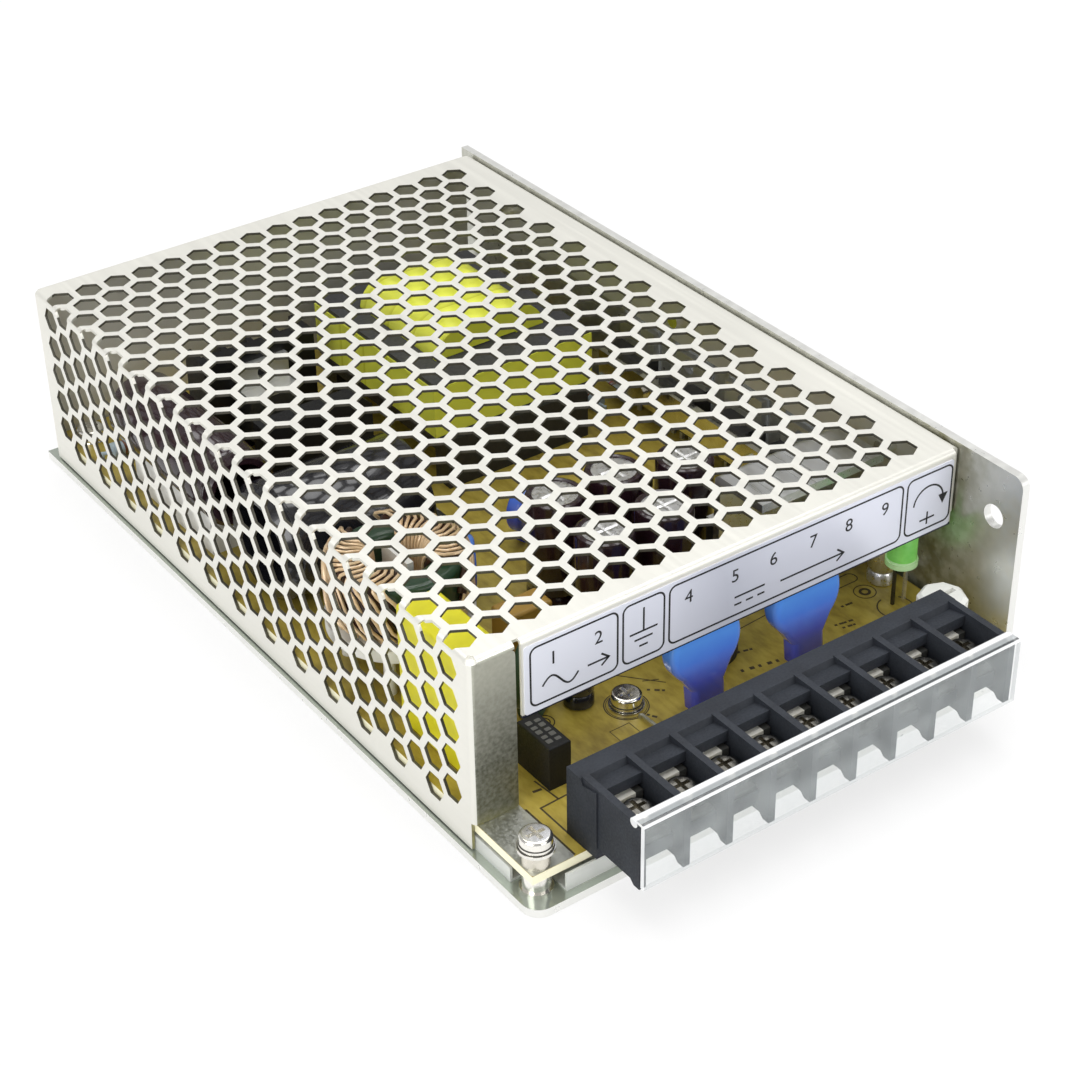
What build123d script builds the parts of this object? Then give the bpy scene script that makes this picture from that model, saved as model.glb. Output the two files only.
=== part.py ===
from build123d import *
import math
import os

# Enclosed AC to DC power supply with two outputs, in millimetres.
# +X runs right along the front, +Y to the back, +Z up.
# The origin is the centre of the base plate's underside.

# Case
case_length = 159.0
case_width = 98.0
case_height = 37.4
chassis_sheet = 1.5
base_corner_radius = 3.0
bend_radius = 2.0
wall_setback = 2.5
wall_corner_radius = 2.0
wall_hole_radius = 2.1
wall_hole_inset = 5.5
wall_hole_drop = 9.4
mount_spacing_x = 65.0
mount_spacing_y = 120.0
mount_hole_radius = 1.5
mount_collar_radius = 2.7
mount_collar_height = 1.3

# Perforated cover
cover_sheet = 0.5
cover_drop = 0.4
cover_left_inset = 0.75
cover_front_inset = 15.9
cover_back_inset = 2.5
cover_seam = 0.3
cover_floor_gap = 0.3
cover_bend_radius = 0.9
lip_height = 14.1
lip_right_gap = 1.2
return_width = 8.0
return_floor = 6.9
return_gap = 1.0
side_flange_height = 12.0
hole_pitch = 5.7
hole_width = 4.35
hole_rows = 27
holes_in_full_row = 16
side_holes_in_row = 5
first_hole_x_inset = 2.385
first_hole_y_inset = 5.7
wrap_depth = 0.9
relief_radius = 0.7

# Label
label_thickness = 0.15
label_margin = 0.4
label_top_drop = 1.4
label_corner = 0.5

# Circuit board and its fixing
board_thickness = 1.6
board_lift = 3.5
board_side_inset = 1.4
board_wall_gap = 1.0
board_front_inset = 2.2
board_back_gap = 0.5
standoff_radius = 2.25
standoff_foot_radius = 2.6
standoff_foot_height = 0.8
screw_thread_radius = 1.45
screw_hole_radius = 1.5
board_hole_radius = 1.6
screw_head_radius = 2.55
screw_head_height = 1.6
flat_washer_radius = 2.95
flat_washer_height = 0.5
spring_washer_radius = 2.7
spring_washer_height = 0.6
spring_washer_split = 0.4
bush_radius = 2.2
bush_height = 2.8
corner_screw_inset = 2.4
ground_screw_x = -12.5
ground_screw_y = -53.7
rear_screw_inset_x = 4.0
rear_screw_inset_y = 5.5
sheet_thickness = 0.4
sheet_side_height = 2.7
sheet_front_height = 3.2
sheet_corner_notch = 5.5
sheet_gap = 0.3
sheet_front_overhang = 0.8

# Terminal block
cell_count = 9
cell_pitch = 8.0
block_centre_x = -1.0
fin_thickness = 1.2
block_end_margin = 0.3
block_back_y = -72.5
block_body_depth = 7.2
block_height = 12.6
deck_thickness = 2.2
scoop_offset = 3.4
scoop_ramp = 0.5
scoop_depth = 1.0
scoop_front_depth = 0.3
pocket_wall = 3.1
fin_rise = 0.2
fin_back_offset = 3.2
fin_front_y = -89.4
fin_bottom = 8.4
fin_tip_drop = 0.8
fin_tip_depth = 1.3
fin_front_step = 0.4
block_floor_top = 12.5
block_floor_thickness = 2.5
block_floor_front_gap = 2.4
strip_thickness = 0.8
strip_width = 6.2
strip_step_depth = 4.7
strip_step_rise = 2.9
pin_width = 2.0
pin_thickness = 0.8
pin_clearance = 0.1
clamp_width = 6.0
clamp_depth = 5.0
clamp_thickness = 0.9
clamp_edge = 0.2
terminal_screw_offset = 7.3
terminal_head_radius = 2.5
terminal_head_height = 2.2
terminal_thread_radius = 1.5

# Clear terminal cover
flap_sheet = 0.8
flap_ledge = 0.5
flap_bead_radius = 0.8
flap_bead_clearance = 0.1
flap_axis_inset = 1.4
flap_axis_drop = 0.2
flap_gap = 0.3
flap_height = 11.8

# Trimmer
trimmer_x = 39.6
trimmer_y = -69.7
trimmer_body_size = 6.6
trimmer_body_height = 3.0
knob_width = 7.7
knob_height = 5.1
knob_gap = 0.3
knob_stem_radius = 1.5
knob_stem_clearance = 0.05
knob_bore_share = 0.6
knob_edge = 0.6
knob_slot_width = 1.0
knob_slot_length = 5.2
knob_slot_depth = 1.0

# Front zone parts
fuse_x = -32.4
fuse_y = -59.1
fuse_width = 4.0
fuse_length = 8.5
fuse_height = 8.0
lamp_x = 41.0
lamp_y = -58.5
lamp_radius = 2.5
lamp_base_height = 8.0
lamp_height = 8.6
lamp_lead_pitch = 2.54
lamp_lead_width = 0.5
lamp_flange = 0.25
lamp_flange_height = 1.0
front_disc_x = (-2.0, 18.6)
front_disc_y = -60.3
front_disc_radius = 6.9
front_disc_thickness = 3.6
front_disc_centre = 12.4
front_disc_neck = 6.4
front_disc_lean = 5.0
disc_lift = 0.2
disc_shoulder_share = 0.82
disc_waist_share = 0.5
disc_round_share = 0.3
lead_radius = 0.35
lead_pitch = 2.54

# Values worked out from the sizes above
left = -case_width / 2
right = case_width / 2
front = -case_length / 2
back = case_length / 2
floor_top = chassis_sheet
wall_inner = right - chassis_sheet
cover_top = case_height - cover_drop
cover_left = left + cover_left_inset
cover_right = wall_inner - cover_seam
cover_front = front + cover_front_inset
cover_back = back - cover_back_inset
cover_inside_top = cover_top - cover_sheet
cover_inside_left = cover_left + cover_sheet
cover_inside_back = cover_back - cover_sheet
lip_x0 = cover_left + return_width + return_gap
lip_x1 = cover_right - lip_right_gap
board_bottom = floor_top + board_lift
board_top = board_bottom + board_thickness
board_left = left + board_side_inset
board_right = wall_inner - board_wall_gap
board_front = front + board_front_inset
board_back = cover_inside_back - board_back_gap
corner_screw = (board_left + corner_screw_inset, board_front + corner_screw_inset)
rear_left_screw = (board_left + rear_screw_inset_x, board_back - rear_screw_inset_y)
rear_right_screw = (board_right - rear_screw_inset_x, board_back - rear_screw_inset_y)
board_screws_at = [corner_screw, (ground_screw_x, ground_screw_y), rear_left_screw, rear_right_screw]
first_fin_x = block_centre_x - cell_count * cell_pitch / 2
cell_centres = [first_fin_x + (k + 0.5) * cell_pitch for k in range(cell_count)]
block_left = first_fin_x - fin_thickness / 2 - block_end_margin
block_right = block_centre_x + cell_count * cell_pitch / 2 + fin_thickness / 2 + block_end_margin
block_body_front = block_back_y - block_body_depth
deck_top = board_top + block_height
deck_bottom = deck_top - deck_thickness
fin_top = deck_top + fin_rise
scoop_back = block_back_y - scoop_offset
pocket_back = block_back_y - pocket_wall
block_floor_front = fin_front_y + block_floor_front_gap
cell_gap = cell_pitch - fin_thickness
strip_top = block_floor_top + strip_thickness
strip_step_front = pocket_back - strip_step_depth
strip_step_top = strip_top + strip_step_rise
clamp_top = strip_top + clamp_thickness
terminal_screw_y = pocket_back - terminal_screw_offset
flap_axis_y = fin_front_y + flap_axis_inset
flap_axis_z = fin_top - flap_axis_drop
flap_back = fin_front_y - flap_gap
flap_front = flap_back - flap_sheet
flap_top = flap_axis_z + flap_bead_radius


def block(x0, x1, y0, y1, z0, z1):
    """A box given by its faces."""
    centre = ((x0 + x1) / 2, (y0 + y1) / 2, (z0 + z1) / 2)
    return Pos(*centre) * Box(x1 - x0, y1 - y0, z1 - z0)


def post(x, y, z0, z1, radius):
    """An upright cylinder."""
    return Pos(x, y, (z0 + z1) / 2) * Cylinder(radius, z1 - z0)


def bar_x(y, z, x0, x1, radius):
    """A cylinder along X."""
    return Pos((x0 + x1) / 2, y, z) * Rot(0, 90, 0) * Cylinder(radius, x1 - x0)


def bar_y(x, z, y0, y1, radius):
    """A cylinder along Y."""
    return Pos(x, (y0 + y1) / 2, z) * Rot(90, 0, 0) * Cylinder(radius, y1 - y0)


def rounded_block(x0, x1, y0, y1, z0, z1, radius):
    """A box with all its edges rounded."""
    body = block(x0, x1, y0, y1, z0, z1)
    return fillet(body.edges(), radius)


def as_solid(shape):
    """The single solid of a shape made by cuts and joins."""
    return shape.solids()[0]


def hexagon(cx, cy, width):
    """A closed hexagon with flats facing along the first axis."""
    reach = width / math.sqrt(3)
    corners = []
    for k in range(6):
        turn = math.radians(30 + 60 * k)
        corners.append((cx + reach * math.cos(turn), cy + reach * math.sin(turn)))
    return Wire(Polyline(*corners, close=True).edges())


def row_y(row):
    return cover_front + first_hole_y_inset + row * hole_pitch * math.sqrt(3) / 2


# Chassis: one folded sheet with a base and a right wall


def make_chassis():
    base = block(left, right, front, back, 0, chassis_sheet)
    corners = base.edges().filter_by(Axis.Z).sort_by(Axis.Y)[:2]
    base = fillet(corners, base_corner_radius)
    wall = block(wall_inner, right, front + wall_setback, back, 0, case_height)
    top_front = wall.edges().filter_by(Axis.X).sort_by(Axis.Z)[-2:].sort_by(Axis.Y)[0]
    wall = fillet(top_front, wall_corner_radius)
    body = base + wall
    outer_bend = block(right - bend_radius, right, front, back, 0, bend_radius)
    outer_bend -= bar_y(right - bend_radius, bend_radius, front, back, bend_radius)
    body -= outer_bend
    inner = bend_radius / 2
    web_x = wall_inner - inner
    web_z = chassis_sheet + inner
    web = block(web_x, wall_inner, front + wall_setback, back, chassis_sheet, web_z)
    web -= bar_y(web_x, web_z, front, back, inner)
    body += web
    hole_y = front + wall_setback + wall_hole_inset
    body -= bar_x(hole_y, case_height - wall_hole_drop, wall_inner - 1, right + 1, wall_hole_radius)
    for x in (-mount_spacing_x / 2, mount_spacing_x / 2):
        for y in (-mount_spacing_y / 2, mount_spacing_y / 2):
            body += post(x, y, 0, floor_top + mount_collar_height, mount_collar_radius)
            body -= post(x, y, -1, floor_top + mount_collar_height + 1, mount_hole_radius)
    for y in cover_screw_ys():
        body -= countersunk(y, cover_screw_z, cut=True)
    for y in clamp_screw_ys():
        body -= countersunk(y, clamp_screw_z, cut=True)
    return as_solid(body)


# Screws that come in flush through the right wall

cover_screw_z = cover_inside_top - 6.0
cover_screw_pitch = 55.0
wall_screw_radius = 1.4
wall_screw_length = 5.0
wall_screw_head = 2.7
wall_screw_play = 0.1
recess_depth = 0.8
recess_width = 0.7
recess_reach = 1.5
recess_share = 0.6
head_round_share = 0.35


def cover_screw_ys():
    middle = (cover_front + cover_back) / 2
    return [middle + k * cover_screw_pitch for k in (-1, 0, 1)]


def countersunk(y, z, cut=False, length=wall_screw_length):
    """A countersunk screw, or the hole it needs when cut is true."""
    play = wall_screw_play if cut else 0
    shank = bar_x(y, z, right - length, right, wall_screw_radius + play)
    if cut:
        shank = bar_x(y, z, wall_inner - 1, right + 1, wall_screw_radius + play)
    depth = wall_screw_head - wall_screw_radius
    cone = Pos(right - depth / 2, y, z) * Rot(0, 90, 0) * Cone(
        wall_screw_radius + play, wall_screw_head + play, depth
    )
    screw = shank + cone
    if not cut:
        screw -= cross_recess_x(right, y, z)
    return screw


def cross_recess_x(x, y, z):
    """The cross slot in a screw head that faces +X."""
    half = recess_width / 2
    upright = block(x - recess_depth, x + 1, y - half, y + half, z - recess_reach, z + recess_reach)
    level = block(x - recess_depth, x + 1, y - recess_reach, y + recess_reach, z - half, z + half)
    return upright + level


def make_cover_screws():
    screws = [as_solid(countersunk(y, cover_screw_z)) for y in cover_screw_ys()]
    return Compound(children=screws)


# Cover: one folded sheet with a hexagon grid


def top_holes():
    holes = []
    for row in range(hole_rows):
        odd = row % 2
        for k in range(0 if odd else 1, holes_in_full_row - odd):
            x = cover_left + first_hole_x_inset + (k + odd / 2) * hole_pitch
            holes.append(hexagon(x, row_y(row), hole_width))
    return holes


def bend_holes():
    """Prisms for the holes that reach into the left bend: even rows end there, odd rows wrap round it."""
    low = cover_top - cover_bend_radius
    first_x = cover_left + first_hole_x_inset
    prisms = []
    for row in range(hole_rows):
        y = row_y(row)
        x = first_x - hole_pitch / 2 if row % 2 else first_x
        over = Face(hexagon(x, y, hole_width))
        prisms.append(Pos(0, 0, low) * extrude(over, cover_bend_radius + 1, dir=(0, 0, 1)))
        if row % 2:
            beside = Face(hexagon(cover_top - wrap_depth, y, hole_width))
            stood = Rot(0, -90, 0) * extrude(beside, cover_bend_radius + 1, dir=(0, 0, 1))
            prisms.append(Pos(cover_left + cover_bend_radius, 0, 0) * stood)
    return prisms


def side_hole_z(row, k):
    start = 1.0 if row % 2 else 0.5
    return cover_top - wrap_depth - (start + k) * hole_pitch


def make_cover_top():
    flat_left = cover_left + cover_bend_radius
    outer = Wire(
        Polyline(
            (flat_left, cover_front + cover_bend_radius),
            (cover_right - cover_bend_radius, cover_front + cover_bend_radius),
            (cover_right - cover_bend_radius, cover_back - cover_bend_radius),
            (flat_left, cover_back - cover_bend_radius),
            close=True,
        ).edges()
    )
    face = Face(outer, top_holes())
    return Pos(0, 0, cover_inside_top) * extrude(face, cover_sheet, dir=(0, 0, 1))


def make_cover_side():
    """The left panel, drawn flat as Y against Z and stood up at the cover's left face."""
    low = floor_top + cover_floor_gap
    high = cover_top - cover_bend_radius
    near = cover_front + cover_bend_radius
    far = cover_back - cover_bend_radius
    outer = Wire(Polyline((low, near), (high, near), (high, far), (low, far), close=True).edges())
    holes = []
    for row in range(hole_rows):
        for k in range(side_holes_in_row):
            z = side_hole_z(row, k)
            if z - hole_width / 2 > low + 1 and z + hole_width / 2 < high:
                holes.append(hexagon(z, row_y(row), hole_width))
    panel = extrude(Face(outer, holes), cover_sheet, dir=(0, 0, 1))
    return Pos(cover_inside_left, 0, 0) * Rot(0, -90, 0) * panel


def bend_y(x, z, y0, y1, turn):
    """A quarter bend along Y whose centre line is at x, z."""
    ring = bar_y(x, z, y0, y1, cover_bend_radius)
    ring -= bar_y(x, z, y0 - 1, y1 + 1, cover_bend_radius - cover_sheet)
    reach = cover_bend_radius + 1
    keep = {
        "left_top": block(x - reach, x, y0, y1, z, z + reach),
        "right_top": block(x, x + reach, y0, y1, z, z + reach),
    }
    return ring & keep[turn]


def bend_x(y, z, x0, x1, turn):
    """A quarter bend along X whose centre line is at y, z."""
    ring = bar_x(y, z, x0, x1, cover_bend_radius)
    ring -= bar_x(y, z, x0 - 1, x1 + 1, cover_bend_radius - cover_sheet)
    reach = cover_bend_radius + 1
    keep = {
        "front_top": block(x0, x1, y - reach, y, z, z + reach),
        "back_top": block(x0, x1, y, y + reach, z, z + reach),
    }
    return ring & keep[turn]


def make_cover():
    r = cover_bend_radius
    top_x0 = cover_left + r
    top_x1 = cover_right - r
    top_y0 = cover_front + r
    top_y1 = cover_back - r
    bend_z = cover_top - r
    low = floor_top + cover_floor_gap
    lip_low = cover_top - lip_height
    flange_low = cover_inside_top - side_flange_height
    tab_x0 = cover_left + r
    tab_x1 = cover_left + return_width
    tab = block(tab_x0, tab_x1, cover_front, cover_front + cover_sheet, return_floor, bend_z)
    tab = fillet(tab.edges().filter_by(Axis.Y).group_by(Axis.X)[-1].sort_by(Axis.Z)[-1], 1.0)
    corner = post(tab_x0, top_y0, return_floor, bend_z, r)
    corner -= post(tab_x0, top_y0, 0, cover_top, r - cover_sheet)
    corner &= block(cover_left, tab_x0, cover_front, top_y0, return_floor, bend_z)
    pieces = [
        make_cover_side(),
        bend_y(top_x0, bend_z, top_y0, top_y1, "left_top"),
        bend_y(top_x1, bend_z, top_y0, top_y1, "right_top"),
        block(cover_right - cover_sheet, cover_right, top_y0, top_y1, flange_low, bend_z),
        bend_x(top_y0, bend_z, lip_x0, lip_x1, "front_top"),
        block(lip_x0, lip_x1, cover_front, cover_front + cover_sheet, lip_low, bend_z),
        bend_x(top_y1, bend_z, top_x0, top_x1, "back_top"),
        block(top_x0, top_x1, cover_back - cover_sheet, cover_back, low, bend_z),
        corner,
        tab,
    ]
    tools = bend_holes()
    tools.append(post(tab_x0, top_y0, bend_z - 0.5, cover_top + 1, relief_radius))
    for y in cover_screw_ys():
        x0 = cover_right - cover_sheet - 1
        tools.append(bar_x(y, cover_screw_z, x0, cover_right + 1, wall_screw_radius))
    return as_solid(make_cover_top().fuse(*pieces).cut(*tools))


def make_label():
    x0 = lip_x0 + label_margin
    x1 = lip_x1 - label_margin
    z0 = cover_top - lip_height + label_margin
    z1 = cover_top - label_top_drop
    face = Plane.XZ * Pos((x0 + x1) / 2, (z0 + z1) / 2) * RectangleRounded(x1 - x0, z1 - z0, label_corner)
    return Pos(0, cover_front, 0) * extrude(face, label_thickness)


# Insulating sheet under the board, with turned up edges


def make_insulation_sheet():
    x0 = cover_inside_left + sheet_gap / 2
    x1 = wall_inner - bend_radius / 2 - sheet_gap
    y0 = board_front - sheet_front_overhang
    y1 = cover_inside_back - sheet_gap
    top = floor_top + sheet_thickness
    body = block(x0, x1, y0, y1, floor_top, top)
    body += block(x0, x0 + sheet_thickness, y0, y1, floor_top, floor_top + sheet_side_height)
    body += block(x0, x1, y0, y0 + sheet_thickness, floor_top, floor_top + sheet_front_height)
    body -= block(x0 - 1, x0 + sheet_corner_notch, y0 - 1, y0 + sheet_corner_notch + 1, 0, board_bottom)
    for x, y in board_screws_at[1:]:
        body -= post(x, y, 0, board_bottom, standoff_foot_radius + sheet_gap)
    for x in (-mount_spacing_x / 2, mount_spacing_x / 2):
        for y in (-mount_spacing_y / 2, mount_spacing_y / 2):
            body -= post(x, y, 0, board_bottom, mount_collar_radius + sheet_gap)
    return as_solid(body)


# Circuit board and what fixes it


def make_board():
    body = block(board_left, board_right, board_front, board_back, board_bottom, board_top)
    for x, y in board_screws_at:
        body -= post(x, y, board_bottom - 1, board_top + 1, board_hole_radius)
    wide = pin_width / 2 + pin_clearance
    for x in cell_centres:
        body -= block(x - wide, x + wide, slot_front, slot_back, board_bottom - 1, board_top + 1)
    return as_solid(body)


def make_standoffs():
    posts = []
    for x, y in board_screws_at:
        body = post(x, y, floor_top, board_bottom, standoff_radius)
        body += post(x, y, floor_top, floor_top + standoff_foot_height, standoff_foot_radius)
        body -= post(x, y, floor_top - 1, board_bottom + 1, screw_hole_radius)
        posts.append(as_solid(body))
    return Compound(children=posts)


def stack_base(index):
    """Height of the first washer: the corner screw stands on an earth bush."""
    return board_top + (bush_height if index == 0 else 0)


def ring(x, y, z0, z1, outer, inner):
    return as_solid(post(x, y, z0, z1, outer) - post(x, y, z0 - 1, z1 + 1, inner))


def make_earth_bush():
    x, y = corner_screw
    return ring(x, y, board_top, board_top + bush_height, bush_radius, board_hole_radius)


def make_flat_washers():
    rings = []
    for k, (x, y) in enumerate(board_screws_at):
        z = stack_base(k)
        rings.append(ring(x, y, z, z + flat_washer_height, flat_washer_radius, board_hole_radius))
    return Compound(children=rings)


def make_spring_washers():
    rings = []
    for k, (x, y) in enumerate(board_screws_at):
        z = stack_base(k) + flat_washer_height
        body = ring(x, y, z, z + spring_washer_height, spring_washer_radius, board_hole_radius)
        half = spring_washer_split / 2
        top = z + spring_washer_height
        body -= block(x - half, x + half, y, y + spring_washer_radius + 1, z - 1, top + 1)
        rings.append(as_solid(body))
    return Compound(children=rings)


def pan_head(x, y, z0, radius, height):
    """A domed screw head with a cross recess."""
    body = post(x, y, z0, z0 + height, radius)
    body = fillet(body.edges().sort_by(Axis.Z)[-1], height * head_round_share)
    half = recess_width / 2
    reach = radius * recess_share
    low = z0 + height / 2
    slot = block(x - half, x + half, y - reach, y + reach, low, z0 + height + 1)
    slot += block(x - reach, x + reach, y - half, y + half, low, z0 + height + 1)
    return body - slot


def make_board_screws():
    screws = []
    for k, (x, y) in enumerate(board_screws_at):
        seat = stack_base(k) + flat_washer_height + spring_washer_height
        body = pan_head(x, y, seat, screw_head_radius, screw_head_height)
        body += post(x, y, floor_top + 0.5, seat, screw_thread_radius)
        screws.append(as_solid(body))
    return Compound(children=screws)


# Terminal block

pin_back = pocket_back - pin_clearance
pin_front = pin_back - pin_thickness
slot_back = pin_back + pin_clearance
slot_front = pin_front - pin_clearance


def fin_profile():
    """Side outline of a barrier fin, as Y against Z, from the tip round to the front step."""
    step_y = flap_axis_y
    points = [
        (fin_front_y, fin_bottom - fin_tip_drop),
        (fin_front_y + fin_tip_depth, fin_bottom - fin_tip_drop),
        (fin_front_y + fin_tip_depth + fin_tip_drop, fin_bottom),
        (block_body_front + 0.5, fin_bottom),
        (block_body_front + 0.5, deck_bottom),
        (block_back_y - fin_back_offset, deck_bottom),
        (block_back_y - fin_back_offset, fin_top),
        (step_y, fin_top),
        (step_y, fin_top - fin_front_step),
        (fin_front_y, fin_top - fin_front_step),
    ]
    return Wire(Polyline(*points, close=True).edges())


def make_fin(x):
    """Drawn flat with Y across, then stood on edge at x."""
    face = Face(fin_profile())
    slab = extrude(face, fin_thickness, dir=(0, 0, 1))
    stood = Rot(0, 0, 90) * Rot(90, 0, 0) * slab
    return Pos(x - fin_thickness / 2, 0, 0) * stood


def make_scoop():
    """The shallow hollow along the front of the deck, as Y against Z, run along the whole block."""
    outline = Polyline(
        (scoop_back, deck_top + 1),
        (scoop_back, deck_top),
        (scoop_back - scoop_ramp, deck_top - scoop_depth),
        (block_body_front, deck_top - scoop_front_depth),
        (block_body_front - 1, deck_top - scoop_front_depth),
        (block_body_front - 1, deck_top + 1),
        close=True,
    )
    face = Face(Wire(outline.edges()))
    slab = extrude(face, block_right - block_left + 2, dir=(0, 0, 1))
    return Pos(block_left - 1, 0, 0) * Rot(0, 0, 90) * Rot(90, 0, 0) * slab


def make_terminal_block():
    body = block(block_left, block_right, block_body_front, block_back_y, board_top, deck_top)
    body -= make_scoop()
    floor_low = block_floor_top - block_floor_thickness
    first = first_fin_x
    last = first_fin_x + cell_count * cell_pitch
    body += block(first, last, block_floor_front, block_body_front, floor_low, block_floor_top)
    for k in range(cell_count + 1):
        body += make_fin(first_fin_x + k * cell_pitch)
    half = cell_gap / 2
    wide = pin_width / 2 + pin_clearance
    for x in cell_centres:
        body -= block(x - half, x + half, block_body_front - 1, pocket_back, block_floor_top, deck_bottom)
        body -= block(x - wide, x + wide, slot_front, slot_back, board_top - 1, block_floor_top + 1)
        body -= post(x, terminal_screw_y, floor_low - 1, block_floor_top + 1, terminal_thread_radius + 0.1)
    notch_radius = flap_bead_radius + flap_bead_clearance
    body -= bar_x(flap_axis_y, flap_axis_z, block_left - 1, block_right + 1, notch_radius)
    return as_solid(body)


def make_terminal_strips():
    strips = []
    half = strip_width / 2
    for x in cell_centres:
        front = block_floor_front + 0.3
        body = block(x - half, x + half, front, strip_step_front, block_floor_top, strip_top)
        riser_back = strip_step_front + strip_thickness
        body += block(x - half, x + half, strip_step_front, riser_back, block_floor_top, strip_step_top)
        step_low = strip_step_top - strip_thickness
        body += block(x - half, x + half, strip_step_front, pin_back, step_low, strip_step_top)
        body += block(x - pin_width / 2, x + pin_width / 2, pin_front, pin_back, board_bottom - 1, strip_step_top)
        body -= post(x, terminal_screw_y, block_floor_top - 1, strip_top + 1, terminal_thread_radius)
        strips.append(as_solid(body))
    return Compound(children=strips)


def make_clamp_plates():
    plates = []
    half = clamp_width / 2
    for x in cell_centres:
        y0 = terminal_screw_y - clamp_depth / 2
        body = block(x - half, x + half, y0, y0 + clamp_depth, strip_top, clamp_top)
        body = chamfer(body.edges().group_by(Axis.Z)[-1], clamp_edge)
        body -= post(x, terminal_screw_y, strip_top - 1, clamp_top + 1, terminal_thread_radius + 0.1)
        plates.append(as_solid(body))
    return Compound(children=plates)


def make_terminal_screws():
    screws = []
    low = block_floor_top - block_floor_thickness + 0.4
    for x in cell_centres:
        body = pan_head(x, terminal_screw_y, clamp_top, terminal_head_radius, terminal_head_height)
        body += post(x, terminal_screw_y, low, clamp_top, terminal_thread_radius)
        screws.append(as_solid(body))
    return Compound(children=screws)


def make_terminal_cover():
    """Clear strip: a bead that snaps into the fins, a short ledge and a hanging panel."""
    x0 = first_fin_x - fin_thickness / 2
    x1 = first_fin_x + cell_count * cell_pitch + fin_thickness / 2
    body = bar_x(flap_axis_y, flap_axis_z, x0, x1, flap_bead_radius)
    body += block(x0, x1, flap_front, flap_axis_y, flap_top - flap_ledge, flap_top)
    body += block(x0, x1, flap_front, flap_back, flap_top - flap_height, flap_top)
    corner = body.edges().filter_by(Axis.X).group_by(Axis.Z)[-1].sort_by(Axis.Y)[0]
    body = fillet(corner, flap_sheet * 0.9)
    return as_solid(body)


# Trimmer beside the block


def make_trimmer_body():
    half = trimmer_body_size / 2
    top = board_top + trimmer_body_height
    body = block(trimmer_x - half, trimmer_x + half, trimmer_y - half, trimmer_y + half, board_top, top)
    body = chamfer(body.edges().filter_by(Axis.Z), 0.5)
    body += post(trimmer_x, trimmer_y, top, top + knob_gap + knob_height * knob_bore_share, knob_stem_radius)
    return as_solid(body)


def make_trimmer_knob():
    low = board_top + trimmer_body_height + knob_gap
    high = low + knob_height
    octagon = RegularPolygon(knob_width / 2, 8, major_radius=False)
    body = extrude(Pos(trimmer_x, trimmer_y, low) * octagon, knob_height)
    body = chamfer(body.edges().group_by(Axis.Z)[-1], knob_edge)
    long = knob_slot_length / 2
    wide = knob_slot_width / 2
    low_slot = high - knob_slot_depth
    body -= block(trimmer_x - long, trimmer_x + long, trimmer_y - wide, trimmer_y + wide, low_slot, high + 1)
    bore = knob_stem_radius + knob_stem_clearance
    bore_top = low + knob_height * knob_bore_share + knob_stem_clearance
    body -= post(trimmer_x, trimmer_y, low - 1, bore_top, bore)
    return as_solid(body)


# Front zone parts on the board


def make_fuse():
    x0 = fuse_x - fuse_width / 2
    y0 = fuse_y - fuse_length / 2
    body = block(x0, x0 + fuse_width, y0, y0 + fuse_length, board_top, board_top + fuse_height)
    return as_solid(fillet(body.edges().group_by(Axis.Z)[-1], 0.3))


def disc_capacitor(x, y, radius, thickness, centre, neck, turn, lean=0):
    """An epoxy dipped disc on edge, running down to a neck at the board."""
    low = disc_lift
    disc = Plane.XZ * Pos(0, centre) * Circle(radius)
    shoulder = radius * disc_shoulder_share
    shoulder_height = centre - radius / 2
    waist = shoulder_height * disc_waist_share
    foot = Plane.XZ * make_face(
        Polyline(
            (-neck / 2, low),
            (neck / 2, low),
            (neck / 2, waist),
            (shoulder, shoulder_height),
            (-shoulder, shoulder_height),
            (-neck / 2, waist),
            close=True,
        )
    )
    body = extrude(disc + foot, thickness / 2, both=True)
    rims = [e for e in body.edges() if abs(abs(e.center().Y) - thickness / 2) < 1e-3]
    body = Pos(0, 0, low) * Rot(0, -lean, 0) * Pos(0, 0, -low) * fillet(rims, thickness * disc_round_share)
    leads = post(-neck / 3, 0, 0, low + 1, lead_radius) + post(neck / 3, 0, 0, low + 1, lead_radius)
    return as_solid(Pos(x, y, board_top) * Rot(0, 0, turn) * (body + leads))


def make_front_discs():
    discs = [
        disc_capacitor(
            x,
            front_disc_y,
            front_disc_radius,
            front_disc_thickness,
            front_disc_centre,
            front_disc_neck,
            0,
            front_disc_lean,
        )
        for x in front_disc_x
    ]
    return Compound(children=discs)


def make_lamp():
    """Green indicator lamp: a domed lens on a flanged base."""
    z0 = board_top + lamp_base_height
    body = post(lamp_x, lamp_y, z0, z0 + lamp_flange_height, lamp_radius + lamp_flange)
    body += post(lamp_x, lamp_y, z0, z0 + lamp_height - lamp_radius, lamp_radius)
    body += Pos(lamp_x, lamp_y, z0 + lamp_height - lamp_radius) * Sphere(lamp_radius)
    return as_solid(body)


def make_lamp_leads():
    leads = []
    half = lamp_lead_width / 2
    for side in (-1, 1):
        x = lamp_x + side * lamp_lead_pitch / 2
        top = board_top + lamp_base_height
        leads.append(as_solid(block(x - half, x + half, lamp_y - half, lamp_y + half, board_top, top)))
    return Compound(children=leads)


# Mains filter

xcap_x0 = -43.0
xcap_width = 7.5
xcap_y0 = -54.0
xcap_length = 18.5
xcap_height = 22.5
box_round = 0.6
choke_x = -33.9
choke_y = -22.0
choke_lift = 8.0
choke_plate = 2.2
choke_core_outer = 10.6
choke_core_inner = 5.6
choke_core_height = 9.0
choke_wire = 1.6
choke_span = 128.0
winding_play = 0.2
choke_leg_radius = 1.0
choke_leg_offset = 6.5
choke_fence_thickness = 1.2
choke_corner = 1.2


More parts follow.
